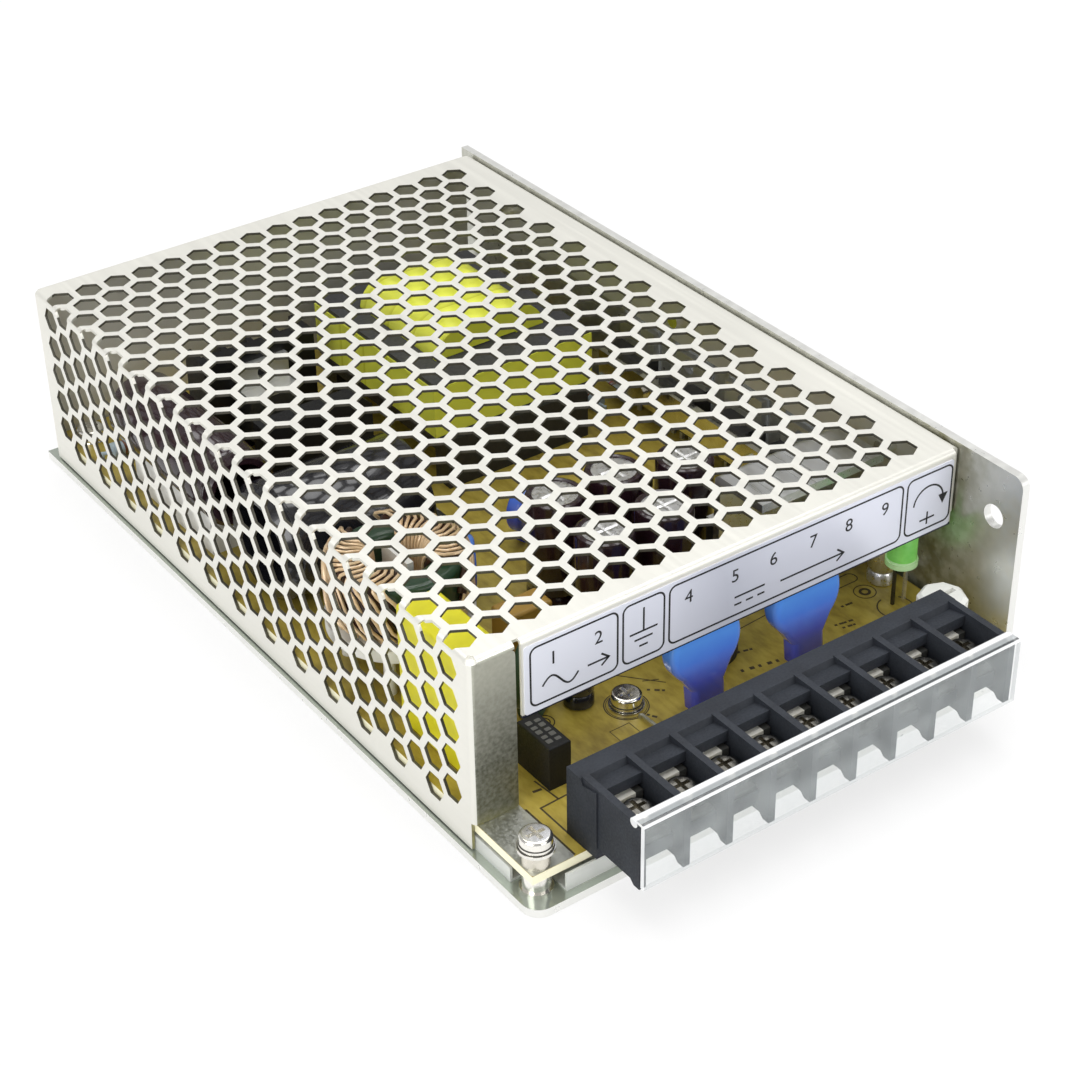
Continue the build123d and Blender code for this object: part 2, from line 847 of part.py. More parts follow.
def make_x_capacitor():
    x1 = xcap_x0 + xcap_width
    y1 = xcap_y0 + xcap_length
    return as_solid(rounded_block(xcap_x0, x1, xcap_y0, y1, board_top, board_top + xcap_height, box_round))


choke_core_low = board_top + choke_lift + choke_plate + choke_wire
choke_core_mid = choke_core_low + choke_core_height / 2


def toroid_section(grow):
    """The rounded section of the toroid, grown by an amount on all sides."""
    mid = (choke_core_outer + choke_core_inner) / 2
    wide = choke_core_outer - choke_core_inner + 2 * grow
    tall = choke_core_height + 2 * grow
    return Plane.XZ * Pos(mid, choke_core_mid) * RectangleRounded(wide, tall, choke_corner + grow / 2)


def make_choke_core():
    return as_solid(Pos(choke_x, choke_y, 0) * revolve(toroid_section(0), Axis.Z))


def make_choke_winding(side):
    section = toroid_section(choke_wire) - toroid_section(0)
    start = -choke_span / 2 + (180 if side < 0 else 0)
    coil = Rot(0, 0, start) * revolve(section, Axis.Z, choke_span)
    return as_solid(Pos(choke_x, choke_y, 0) * coil)


def make_choke_base():
    z0 = board_top + choke_lift
    plate = post(choke_x, choke_y, z0, z0 + choke_plate, choke_core_outer + choke_wire)
    fence_top = choke_core_low + choke_core_height
    half = choke_fence_thickness / 2
    low_y = choke_y - choke_core_inner
    high_y = choke_y + choke_core_inner
    fence = block(choke_x - half, choke_x + half, low_y, high_y, z0 + choke_plate, fence_top)
    fence &= post(choke_x, choke_y, z0, fence_top + 1, choke_core_inner - choke_wire - winding_play)
    body = plate + fence
    for sx in (-1, 1):
        for sy in (-1, 1):
            x = choke_x + sx * choke_leg_offset
            y = choke_y + sy * choke_leg_offset
            body += post(x, y, board_top, z0 + choke_plate / 4, choke_leg_radius)
    return as_solid(body)


# Sealed cans

can_edge = 0.5
groove_height = 2.4
groove_half_width = 0.6
can_groove = 0.4
small_can_groove = 0.2


def can_outline(radius, length, groove):
    """Half section of a capacitor can, closed on its axis, with a rolled groove near one end."""
    edge = can_edge
    low = groove_height - groove_half_width
    high = groove_height + groove_half_width
    return make_face(
        Polyline(
            (0, 0),
            (radius - edge, 0),
            (radius, edge),
            (radius, low),
            (radius - groove, groove_height),
            (radius, high),
            (radius, length - edge),
            (radius - edge, length),
            (0, length),
            close=True,
        )
    )


def can(radius, length, groove=can_groove):
    """A can standing on the origin."""
    return revolve(Plane.XZ * can_outline(radius, length, groove), Axis.Z)


bulk_radius = 10.5
bulk_length = 29.0
bulk_x0 = -43.2
bulk_y = 6.5
second_radius = 7.0
second_length = 36.0
second_x = -39.7
second_y0 = 18.6
second_lift = 6.5
second_bed_width = 9.0
bed_end_margin = 4.0
bed_wrap = 2.0


def make_bulk_capacitor():
    lying = Rot(0, 90, 0) * can(bulk_radius, bulk_length)
    return as_solid(Pos(bulk_x0, bulk_y, board_top + bulk_radius) * lying)


def make_second_capacitor():
    lying = Rot(-90, 0, 0) * can(second_radius, second_length)
    return as_solid(Pos(second_x, second_y0, board_top + second_lift + second_radius) * lying)


def make_silicone_bed():
    """White sealant that holds the raised can off the board."""
    half = second_bed_width / 2
    y0 = second_y0 + bed_end_margin
    y1 = second_y0 + second_length - bed_end_margin
    bed_top = board_top + second_lift + bed_wrap
    body = block(second_x - half, second_x + half, y0, y1, board_top, bed_top)
    body -= bar_y(second_x, board_top + second_lift + second_radius, y0 - 1, y1 + 1, second_radius)
    return as_solid(body)


output_can_radius = 5.0
output_can_height = 20.5
output_cans_at = [(-3.5, -36.0), (8.6, -36.0), (-3.5, -22.5), (8.6, -22.5), (20.5, -26.5)]
aux_radius = 7.2
aux_length = 26.0
aux_x0 = 8.0
aux_y = 66.8
small_can_radius = 2.5
small_can_height = 9.0
small_cans_at = [(-18.0, -48.5), (29.0, -13.0), (43.2, -52.0), (-6.0, 66.0)]


def make_output_capacitors():
    upright = can(output_can_radius, output_can_height)
    return Compound(children=[as_solid(Pos(x, y, board_top) * upright) for x, y in output_cans_at])


def make_aux_capacitor():
    lying = Rot(0, 90, 0) * can(aux_radius, aux_length)
    return as_solid(Pos(aux_x0, aux_y, board_top + aux_radius) * lying)


def make_small_capacitors():
    upright = can(small_can_radius, small_can_height, small_can_groove)
    return Compound(children=[as_solid(Pos(x, y, board_top) * upright) for x, y in small_cans_at])


# Transformer lying flat: core frame, winding, bobbin and the tape round the core

core_x0 = -1.0
core_x1 = 33.0
core_y0 = 17.0
core_y1 = 57.0
core_lift = 10.0
core_height = 11.4
core_end = 7.0
core_leg = 5.0
centre_leg = 11.0
winding_top = 33.0
winding_low = 10.6
tape_thickness = 0.3
tape_inset = 0.8
winding_round = 5.5
bobbin_inset_x = 1.5
bobbin_overhang = 1.5
bobbin_deck = 3.6
bobbin_foot = 4.5
core_z0 = board_top + core_lift
core_z1 = core_z0 + core_height
core_mid_x = (core_x0 + core_x1) / 2


def make_transformer_core():
    body = block(core_x0, core_x1, core_y0, core_y1, core_z0, core_z1)
    half = centre_leg / 2
    for x0, x1 in ((core_x0 + core_leg, core_mid_x - half), (core_mid_x + half, core_x1 - core_leg)):
        body -= block(x0, x1, core_y0 + core_end, core_y1 - core_end, core_z0 - 1, core_z1 + 1)
    return as_solid(body)


def make_transformer_winding():
    x0 = core_x0 + core_leg + winding_play
    x1 = core_x1 - core_leg - winding_play
    y0 = core_y0 + core_end + winding_play
    y1 = core_y1 - core_end - winding_play
    body = block(x0, x1, y0, y1, winding_low, winding_top)
    body = fillet(body.edges().filter_by(Axis.Y), winding_round)
    half = centre_leg / 2 + winding_play
    z0 = core_z0 - winding_play
    z1 = core_z1 + winding_play
    body -= block(core_mid_x - half, core_mid_x + half, y0 - 1, y1 + 1, z0, z1)
    return as_solid(body)


def make_transformer_tape():
    t = tape_thickness
    z0 = core_z0 + tape_inset
    z1 = core_z1 - tape_inset
    body = block(core_x0 - t, core_x1 + t, core_y0 - t, core_y1 + t, z0, z1)
    body -= block(core_x0, core_x1, core_y0, core_y1, z0 - 1, z1 + 1)
    return as_solid(body)


def make_transformer_bobbin():
    x0 = core_x0 + bobbin_inset_x
    x1 = core_x1 - bobbin_inset_x
    y0 = core_y0 - bobbin_overhang
    y1 = core_y1 + bobbin_overhang
    deck = core_z0 - bobbin_deck
    body = block(x0, x1, y0, y1, deck, core_z0)
    body -= block(
        core_x0 + core_leg, core_x1 - core_leg, core_y0 + core_end, core_y1 - core_end, deck - 1, core_z0 + 1
    )
    body += block(x0, x1, y0, y0 + bobbin_foot, board_top, deck)
    body += block(x0, x1, y1 - bobbin_foot, y1, board_top, deck)
    return as_solid(body)


# Power packages on the right wall with their pads and clamp bar

package_width = 10.2
package_body = 9.2
package_thick = 4.5
package_tab = 1.3
package_tab_height = 5.0
package_edge = 0.4
package_hole_radius = 1.4
package_hole_drop = 2.2
leg_thickness = 0.6
leg_width = 0.8
leg_plane = 2.4
package_low = board_top + 2.8
pad_thickness = 0.3
pad_margin = 0.4
package_first_y = -27.0
package_pitch = 15.5
package_ys = [package_first_y + k * package_pitch for k in range(4)]
clamp_bar_thickness = 1.5
clamp_bar_height = 6.0
clamp_screw_z = package_low + 5.0
clamp_screw_length = 8.5


def clamp_screw_ys():
    return [(package_ys[k] + package_ys[k + 1]) / 2 for k in (0, 2)]


def package(low):
    """A three lead power package, back to +X at X 0, standing on its leads at Z 0."""
    half = package_width / 2
    body = block(-package_thick, 0, -half, half, low, low + package_body)
    body = chamfer(body.edges().group_by(Axis.X)[0], package_edge)
    tab_top = low + package_body + package_tab_height
    body += block(-package_tab, 0, -half, half, low, tab_top)
    body -= bar_x(0, tab_top - package_hole_drop, -package_tab - 1, 1, package_hole_radius)
    deep = leg_thickness / 2
    wide = leg_width / 2
    for k in (-1, 0, 1):
        y = k * lead_pitch
        body += block(-leg_plane - deep, -leg_plane + deep, y - wide, y + wide, 0, low + package_edge)
    return body


def make_wall_packages():
    parts = []
    face = wall_inner - pad_thickness
    for y in package_ys:
        parts.append(as_solid(Pos(face, y, board_top) * package(package_low - board_top)))
    return Compound(children=parts)


def make_thermal_pads():
    pads = []
    half = package_width / 2 + pad_margin
    low = package_low - pad_margin
    high = package_low + package_body + package_tab_height + pad_margin
    for y in package_ys:
        pads.append(as_solid(block(wall_inner - pad_thickness, wall_inner, y - half, y + half, low, high)))
    return Compound(children=pads)


def make_clamp_bar():
    face = wall_inner - pad_thickness - package_thick
    half = clamp_bar_height / 2
    y0 = package_ys[0] - package_width / 2 - pad_margin
    y1 = package_ys[-1] + package_width / 2 + pad_margin
    body = block(face - clamp_bar_thickness, face, y0, y1, clamp_screw_z - half, clamp_screw_z + half)
    for y in clamp_screw_ys():
        body -= bar_x(y, clamp_screw_z, face - clamp_bar_thickness - 1, face + 1, wall_screw_radius)
    return as_solid(body)


def make_clamp_screws():
    screws = [as_solid(countersunk(y, clamp_screw_z, length=clamp_screw_length)) for y in clamp_screw_ys()]
    return Compound(children=screws)


# Output heatsink: one folded plate with two packages on its back

sink_x0 = 17.0
sink_x1 = 43.0
sink_y0 = -50.5
sink_y1 = -38.6
sink_sheet = 1.5
sink_top = 31.0
sink_package_xs = (24.0, 36.0)
rectifier_lift = 4.0


def make_output_heatsink():
    body = block(sink_x0, sink_x1, sink_y1 - sink_sheet, sink_y1, board_top, sink_top)
    body += block(sink_x0, sink_x1, sink_y0, sink_y1, sink_top - sink_sheet, sink_top)
    outer = body.edges().filter_by(Axis.X).group_by(Axis.Z)[-1].sort_by(Axis.Y)[-1]
    return as_solid(fillet(outer, sink_sheet * 0.9))


def make_output_rectifiers():
    parts = []
    for x in sink_package_xs:
        parts.append(as_solid(Pos(x, sink_y1, board_top) * Rot(0, 0, -90) * package(rectifier_lift)))
    return Compound(children=parts)


# Other parts on the board

chip_lift = 0.5
chip_edge = 0.3
chip_leg_width = 0.7
chip_leg_thickness = 0.5
axial_cap = 1.6
axial_reach = 2.0
resistor_length = 7.0
resistor_radius = 1.5
resistor_bulge = 0.2
diode_length = 8.0
diode_radius = 2.2

bridge_x = -19.5
bridge_y = 28.0
bridge_length = 22.0
bridge_thick = 3.8
bridge_height = 15.0
bridge_lift = 3.5
bridge_corner = 2.4
bridge_leg_pitch = 5.0
bridge_leg_width = 1.0
bar_sink_x0 = -29.0
bar_sink_x1 = -6.0
bar_sink_y = 50.0
bar_sink_thick = 3.0
bar_sink_height = 20.0
bar_fin_count = 5
bar_fin_thickness = 1.2
bar_fin_depth = 4.0
switch_lift = 3.6
inner_discs = [(-16.0, -14.0, 5.0, 3.4, 6.8, 4.0, 60.0), (2.5, -5.5, 4.5, 3.2, 6.2, 3.6, 20.0)]
film_box = (-17.5, -32.5, 9.0, 5.0, 10.0)
thermistor = (-25.0, -46.0, 6.0, 4.6, 7.6, 5.0, 35.0)
coil_x = 6.5
coil_y = -49.5
coil_radius = 5.6
coil_height = 14.0
coil_flange = 1.5
coil_waist = 0.7
control_box = (38.5, 44.0, 6.4, 9.6, 3.4)
opto_box = (-24.5, 63.5, 6.4, 4.6, 3.4)
resistors_at = [
    (-40.0, 62.0, 0.0),
    (-32.5, 69.5, 0.0),
    (-12.0, 64.5, 90.0),
    (38.5, 25.0, 90.0),
    (38.5, 55.5, 0.0),
]
diodes_at = [(-9.5, 3.5, 90.0), (-14.5, 40.0, 0.0), (24.0, -5.5, 0.0)]


def make_bridge_rectifier():
    x0 = bridge_x - bridge_length / 2
    y0 = bridge_y - bridge_thick / 2
    z0 = board_top + bridge_lift
    body = block(x0, x0 + bridge_length, y0, y0 + bridge_thick, z0, z0 + bridge_height)
    corner = body.edges().filter_by(Axis.Y).group_by(Axis.Z)[-1].sort_by(Axis.X)[-1]
    body = chamfer(corner, bridge_corner)
    for k in range(4):
        x = bridge_x + (k - 1.5) * bridge_leg_pitch
        wide = bridge_leg_width / 2
        deep = leg_thickness / 2
        body += block(x - wide, x + wide, bridge_y - deep, bridge_y + deep, board_top, z0 + bridge_corner)
    return as_solid(body)


def make_bar_heatsink():
    """Black anodised plate with short fins."""
    y1 = bar_sink_y + bar_sink_thick
    top = board_top + bar_sink_height
    body = block(bar_sink_x0, bar_sink_x1, bar_sink_y, y1, board_top, top)
    pitch = (bar_sink_x1 - bar_sink_x0 - bar_fin_thickness) / (bar_fin_count - 1)
    for k in range(bar_fin_count):
        x = bar_sink_x0 + k * pitch
        body += block(x, x + bar_fin_thickness, bar_sink_y, y1 + bar_fin_depth, board_top, top)
    return as_solid(body)


def make_switch_package():
    x = (bar_sink_x0 + bar_sink_x1) / 2
    return as_solid(Pos(x, bar_sink_y, board_top) * Rot(0, 0, 90) * package(switch_lift))


def make_inner_discs():
    return Compound(children=[disc_capacitor(*values) for values in inner_discs])


def make_thermistor():
    return disc_capacitor(*thermistor)


def make_film_capacitor():
    x, y, length, width, height = film_box
    x0 = x - length / 2
    y0 = y - width / 2
    return as_solid(rounded_block(x0, x0 + length, y0, y0 + width, board_top, board_top + height, box_round))


def make_coil():
    """Output filter coil: a drum with a waist."""
    outline = make_face(
        Polyline(
            (0, 0),
            (coil_radius, 0),
            (coil_radius, coil_flange),
            (coil_radius - coil_waist, coil_flange + coil_waist),
            (coil_radius - coil_waist, coil_height - coil_flange - coil_waist),
            (coil_radius, coil_height - coil_flange),
            (coil_radius, coil_height),
            (0, coil_height),
            close=True,
        )
    )
    return as_solid(Pos(coil_x, coil_y, board_top) * revolve(Plane.XZ * outline, Axis.Z))


def dip(values, rows):
    """A dual in line package on short legs."""
    x, y, width, length, height = values
    z0 = board_top + chip_lift
    body = block(x - width / 2, x + width / 2, y - length / 2, y + length / 2, z0, z0 + height)
    body = chamfer(body.edges().group_by(Axis.Z)[-1], chip_edge)
    deep = chip_leg_thickness / 2
    wide = chip_leg_width / 2
    for k in range(rows):
        leg_y = y + (k - (rows - 1) / 2) * lead_pitch
        for side in (-1, 1):
            leg_x = x + side * width / 2
            body += block(leg_x - deep, leg_x + deep, leg_y - wide, leg_y + wide, board_top, z0 + height / 2)
    return as_solid(body)


def axial(x, y, turn, length, radius, bulge):
    """A small body lying on the board between two bent leads."""
    z = board_top + radius
    body = bar_x(0, z, -length / 2, length / 2, radius - bulge)
    if bulge:
        body += bar_x(0, z, -length / 2, -length / 2 + axial_cap, radius)
        body += bar_x(0, z, length / 2 - axial_cap, length / 2, radius)
    reach = length / 2 + axial_reach
    body += bar_x(0, z, -reach, reach, lead_radius)
    for side in (-1, 1):
        body += post(side * reach, 0, board_top, z + lead_radius, lead_radius)
    return as_solid(Pos(x, y, 0) * Rot(0, 0, turn) * body)


def make_resistors():
    bodies = []
    for x, y, turn in resistors_at:
        bodies.append(axial(x, y, turn, resistor_length, resistor_radius, resistor_bulge))
    return Compound(children=bodies)


def make_diodes():
    return Compound(children=[axial(x, y, turn, diode_length, diode_radius, 0) for x, y, turn in diodes_at])


parts = {
    "chassis": make_chassis(),
    "cover": make_cover(),
    "label": make_label(),
    "insulation_sheet": make_insulation_sheet(),
    "circuit_board": make_board(),
    "board_standoffs": make_standoffs(),
    "earth_bush": make_earth_bush(),
    "flat_washers": make_flat_washers(),
    "spring_washers": make_spring_washers(),
    "board_screws": make_board_screws(),
    "cover_screws": make_cover_screws(),
    "terminal_block": make_terminal_block(),
    "terminal_strips": make_terminal_strips(),
    "clamp_plates": make_clamp_plates(),
    "terminal_screws": make_terminal_screws(),
    "terminal_cover": make_terminal_cover(),
    "trimmer_body": make_trimmer_body(),
    "trimmer_knob": make_trimmer_knob(),
    "fuse": make_fuse(),
    "front_disc_capacitors": make_front_discs(),
    "indicator_lamp": make_lamp(),
    "lamp_leads": make_lamp_leads(),
    "x_capacitor": make_x_capacitor(),
    "choke_core": make_choke_core(),
    "choke_winding_left": make_choke_winding(-1),
    "choke_winding_right": make_choke_winding(1),
    "choke_base": make_choke_base(),
    "bulk_capacitor": make_bulk_capacitor(),
    "second_capacitor": make_second_capacitor(),
    "silicone_bed": make_silicone_bed(),
    "output_capacitors": make_output_capacitors(),
    "aux_capacitor": make_aux_capacitor(),
    "small_capacitors": make_small_capacitors(),
    "transformer_core": make_transformer_core(),
    "transformer_winding": make_transformer_winding(),
    "transformer_tape": make_transformer_tape(),
    "transformer_bobbin": make_transformer_bobbin(),
    "wall_packages": make_wall_packages(),
    "thermal_pads": make_thermal_pads(),
    "clamp_bar": make_clamp_bar(),
    "clamp_screws": make_clamp_screws(),
    "output_heatsink": make_output_heatsink(),
    "output_rectifiers": make_output_rectifiers(),
    "bridge_rectifier": make_bridge_rectifier(),
    "bar_heatsink": make_bar_heatsink(),
    "switch_package": make_switch_package(),
    "inner_disc_capacitors": make_inner_discs(),
    "thermistor": make_thermistor(),
    "film_capacitor": make_film_capacitor(),
    "filter_coil": make_coil(),
    "control_chip": dip(control_box, 4),
    "optocoupler": dip(opto_box, 2),
    "resistors": make_resistors(),
    "diodes": make_diodes(),
}

os.makedirs("parts", exist_ok=True)
for name, shape in parts.items():
    export_step(shape, f"parts/{name}.step")
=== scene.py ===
import math

import bmesh
import bpy
from mathutils import Matrix, Vector


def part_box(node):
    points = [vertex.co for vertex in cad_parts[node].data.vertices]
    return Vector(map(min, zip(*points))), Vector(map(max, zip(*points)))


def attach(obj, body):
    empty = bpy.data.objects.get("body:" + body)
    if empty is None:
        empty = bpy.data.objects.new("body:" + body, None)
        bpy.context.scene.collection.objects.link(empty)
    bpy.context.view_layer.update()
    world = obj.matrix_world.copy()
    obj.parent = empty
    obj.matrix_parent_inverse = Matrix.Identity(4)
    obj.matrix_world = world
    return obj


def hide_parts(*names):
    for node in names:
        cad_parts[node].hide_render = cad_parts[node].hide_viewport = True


# Looks of an enclosed power supply, in metres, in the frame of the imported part.
# +X runs right along the front, +Y to the back, +Z up from the base's underside.

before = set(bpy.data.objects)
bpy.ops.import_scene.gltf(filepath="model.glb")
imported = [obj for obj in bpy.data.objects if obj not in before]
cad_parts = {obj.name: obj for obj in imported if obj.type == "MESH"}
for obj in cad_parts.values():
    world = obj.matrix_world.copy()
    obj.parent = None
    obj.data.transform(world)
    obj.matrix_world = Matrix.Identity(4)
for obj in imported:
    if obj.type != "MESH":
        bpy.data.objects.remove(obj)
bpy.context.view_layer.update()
scene = bpy.context.scene
scene.view_settings.view_transform = "Standard"

MM = 0.001
CASE = "case"


def mm(*values):
    """A vector given in millimetres."""
    return Vector(values) * MM


def low(node):
    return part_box(node)[0]


def high(node):
    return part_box(node)[1]


BOARD_TOP = high("circuit_board").z

# Camera at the photograph's view

CAMERA_PLACE = mm(-190.6, -283.8, 234.8)
CAMERA_AZIMUTH = math.radians(-34.942)
CAMERA_ELEVATION = math.radians(33.867)
CAMERA_ROLL = math.radians(-1.114)
CAMERA_LENS = 78.85


def make_camera():
    back = Vector(
        (
            math.sin(CAMERA_AZIMUTH) * math.cos(CAMERA_ELEVATION),
            -math.cos(CAMERA_AZIMUTH) * math.cos(CAMERA_ELEVATION),
            math.sin(CAMERA_ELEVATION),
        )
    )
    side = Vector((0, 0, 1)).cross(back).normalized()
    up = back.cross(side)
    turned_side = side * math.cos(CAMERA_ROLL) + up * math.sin(CAMERA_ROLL)
    turned_up = up * math.cos(CAMERA_ROLL) - side * math.sin(CAMERA_ROLL)
    axes = Matrix((turned_side, turned_up, back)).transposed().to_4x4()
    data = bpy.data.cameras.new("camera")
    data.lens = CAMERA_LENS
    data.sensor_width = 36.0
    data.clip_start = 0.01
    data.clip_end = 20.0
    camera = bpy.data.objects.new("camera", data)
    camera.matrix_world = Matrix.Translation(CAMERA_PLACE) @ axes
    scene.collection.objects.link(camera)
    scene.camera = camera


# Materials

# Shares of a face's normal along an axis, where it looks along it and where it is edgewise
SQUARE = 0.9
EDGEWISE = 0.4


class Surface:
    """A material around one Principled shader, with short ways to feed its sockets."""

    def __init__(self, name, colour, roughness, metallic=0.0, **values):
        self.material = bpy.data.materials.new(name)
        self.material.use_nodes = True
        self.nodes = self.material.node_tree.nodes
        self.links = self.material.node_tree.links
        self.shader = self.nodes["Principled BSDF"]
        self.set("Base Color", (*colour, 1.0))
        self.set("Roughness", roughness)
        self.set("Metallic", metallic)
        for key, value in values.items():
            self.set(key.replace("_", " "), value)

    def set(self, socket, value):
        self.shader.inputs[socket].default_value = value

    def feed(self, socket, output):
        self.links.new(output, self.shader.inputs[socket])

    def node(self, kind, **inputs):
        made = self.nodes.new(kind)
        for key, value in inputs.items():
            socket = made.inputs[key.replace("_", " ")]
            if isinstance(value, bpy.types.NodeSocket):
                self.links.new(value, socket)
            else:
                socket.default_value = value
        return made

    def place(self, stretch=(1, 1, 1), output="Object"):
        """Coordinates fixed to the piece, in metres, stretched on each axis."""
        source = self.nodes.new("ShaderNodeTexCoord").outputs[output]
        mapping = self.node("ShaderNodeMapping", Vector=source)
        mapping.inputs["Scale"].default_value = stretch
        return mapping.outputs["Vector"]

    def noise(self, size, detail=3.0, stretch=(1, 1, 1), roughness=0.5):
        """Noise whose blobs are about size metres across."""
        where = self.place(stretch)
        made = self.node("ShaderNodeTexNoise", Vector=where, Scale=1 / size, Detail=detail)
        made.inputs["Roughness"].default_value = roughness
        return made.outputs["Fac"]

    def ramp(self, value, stops, mode="LINEAR"):
        made = self.node("ShaderNodeValToRGB", Fac=value)
        made.color_ramp.interpolation = mode
        points = made.color_ramp.elements
        while len(points) < len(stops):
            points.new(0.5)
        for point, (position, colour) in zip(points, stops):
            point.position = position
            point.color = (*colour, 1.0) if len(colour) == 3 else colour
        return made.outputs["Color"]

    def grey(self, value, low_in, high_in, low_out, high_out):
        """Maps a value from one range to another, held inside the second."""
        made = self.nodes.new("ShaderNodeMapRange")
        self.links.new(value, made.inputs["Value"])
        ends = {"From Min": low_in, "From Max": high_in, "To Min": low_out, "To Max": high_out}
        for key, number in ends.items():
            made.inputs[key].default_value = number
        return made.outputs["Result"]

    def math(self, operation, first, second=0.0):
        made = self.nodes.new("ShaderNodeMath")
        made.operation = operation
        for socket, value in zip(made.inputs, (first, second)):
            if isinstance(value, bpy.types.NodeSocket):
                self.links.new(value, socket)
            else:
                socket.default_value = value
        return made.outputs[0]

    def mix(self, factor, first, second):
        """Mixes two colours, each given as a tuple or as a socket."""
        made = self.nodes.new("ShaderNodeMix")
        made.data_type = "RGBA"
        self.links.new(factor, made.inputs["Factor"])
        for socket, value in ((made.inputs[6], first), (made.inputs[7], second)):
            if isinstance(value, bpy.types.NodeSocket):
                self.links.new(value, socket)
            else:
                socket.default_value = (*value, 1.0)
        return made.outputs[2]

    def axis(self, name, output="Object"):
        """One coordinate of a point of the piece, in metres, or of its normal."""
        source = self.nodes.new("ShaderNodeTexCoord").outputs[output]
        split = self.node("ShaderNodeSeparateXYZ", Vector=source)
        return split.outputs[name]

    def above(self, value, limit):
        return self.math("GREATER_THAN", value, limit)

    def below(self, value, limit):
        return self.math("LESS_THAN", value, limit)

    def both(self, *masks):
        """One where every mask is one."""
        made = masks[0]
        for mask in masks[1:]:
            made = self.math("MINIMUM", made, mask)
        return made

    def blotches(self, noise, spread, first, second):
        """Two colours mixed by a noise. A small spread gives sharper edges."""
        share = self.grey(noise, 0.5 - spread, 0.5 + spread, 0, 1)
        return self.mix(share, first, second)

    def wavering(self, value, size, reach, detail=3.0):
        """A value moved up and down by a noise, by at most its reach."""
        shift = self.grey(self.noise(size, detail=detail), 0, 1, -reach, reach)
        return self.math("ADD", value, shift)

    def along(self, axis, first, last):
        """Runs from 0 at the first coordinate to 1 at the last."""
        return self.grey(self.axis(axis), first, last, 0, 1)

    def looks_up(self, axis):
        """One where the surface looks squarely along an axis."""
        return self.above(self.axis(axis, "Normal"), SQUARE)

    def looks_down(self, axis):
        """One where the surface looks squarely against an axis."""
        return self.below(self.axis(axis, "Normal"), -SQUARE)

    def facing(self, axis):
        """How squarely the surface looks along an axis, either way, from 0 to 1."""
        return self.math("ABSOLUTE", self.axis(axis, "Normal"))

    def edgewise(self, axis):
        """One where the surface stands edgewise to an axis."""
        return self.below(self.facing(axis), EDGEWISE)

    def bump(self, height, depth, strength=1.0):
        made = self.node("ShaderNodeBump", Height=height, Distance=depth, Strength=strength)
        self.feed("Normal", made.outputs["Normal"])


def shade(name, *nodes):
    """Gives a material to CAD nodes."""
    for node in nodes:
        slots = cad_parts[node].data.materials
        slots.clear()
        slots.append(name)


def darker(colour, share):
    return tuple(c * share for c in colour)


def rolled_sheet(name, colour, rough_low, rough_high, lines, metallic=1.0):
    """Sheet metal with fine rolling lines along the case and a faint cloudy tone."""
    made = Surface(name, colour, rough_low, metallic=metallic)
    made.tone = made.blotches(made.noise(0.03, detail=4.0), 0.15, darker(colour, 0.95), colour)
    made.feed("Base Color", made.tone)
    grain = made.noise(lines, detail=5.0, stretch=(1, 0.015, 1))
    made.feed("Roughness", made.grey(grain, 0.3, 0.7, rough_low, rough_high))
    made.bump(grain, 0.000006, 0.5)
    return made


def cover_material():
    """Folded sheet with hole walls painted dark as shade, a dark hem on its lip and a spangled narrow
    return carrying painted shade along its height.
    """
    made = rolled_sheet("cover_sheet", (0.77, 0.76, 0.70), 0.36, 0.5, 0.0008, 0.5)
    a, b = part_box("cover")
    x, y, z = (made.axis(name) for name in "XYZ")
    hole_depth = 0.56 * MM
    rim = 1.8 * MM
    inside = made.both(made.above(y, a.y + rim), made.below(y, b.y - rim))
    top_skin = made.both(made.above(z, b.z - hole_depth), made.above(x, a.x + rim), inside)
    top_walls = made.both(made.edgewise("Z"), top_skin)
    side_skin = made.both(made.below(x, a.x + hole_depth), made.below(z, b.z - rim), inside)
    side_walls = made.both(made.edgewise("X"), side_skin)
    walls = made.math("MAXIMUM", top_walls, side_walls)
    lip_left = low("label").x - 0.6 * MM
    hem_top = low("label").z + 0.1 * MM
    front = made.below(y, a.y + 1.0 * MM)
    hem = made.both(made.below(z, hem_top), made.above(x, lip_left), front)
    fold = made.both(made.looks_down("Y"), made.below(x, lip_left), front)
    # The return's colour is painted shade along its height: deepest in the middle, olive at the foot
    # and paler at the head. The spangle mixed over it is the sheet's own.
    olive_foot = (0.06, (0.36, 0.34, 0.15))
    deepest_painted_shade = [(0.2, (0.14, 0.14, 0.085)), (0.45, (0.10, 0.105, 0.08))]
    pale_head = (0.9, (0.42, 0.42, 0.35))
    height = made.wavering(made.grey(z, a.z, b.z, 0, 1), 0.004, 0.08)
    spangle = made.grey(made.noise(0.0007, detail=4.0), 0.35, 0.65, 0, 0.22)
    return_shade_and_spangle = made.ramp(height, [olive_foot, *deepest_painted_shade, pale_head])
    return_shade_and_spangle = made.mix(spangle, return_shade_and_spangle, (0.62, 0.62, 0.55))
    # Painted shade: the hole walls are coloured near black.
    tone = made.mix(walls, made.tone, (0.10, 0.095, 0.075))
    tone = made.mix(fold, tone, return_shade_and_spangle)
    made.feed("Base Color", made.mix(hem, tone, (0.012, 0.015, 0.04)))
    return made.material


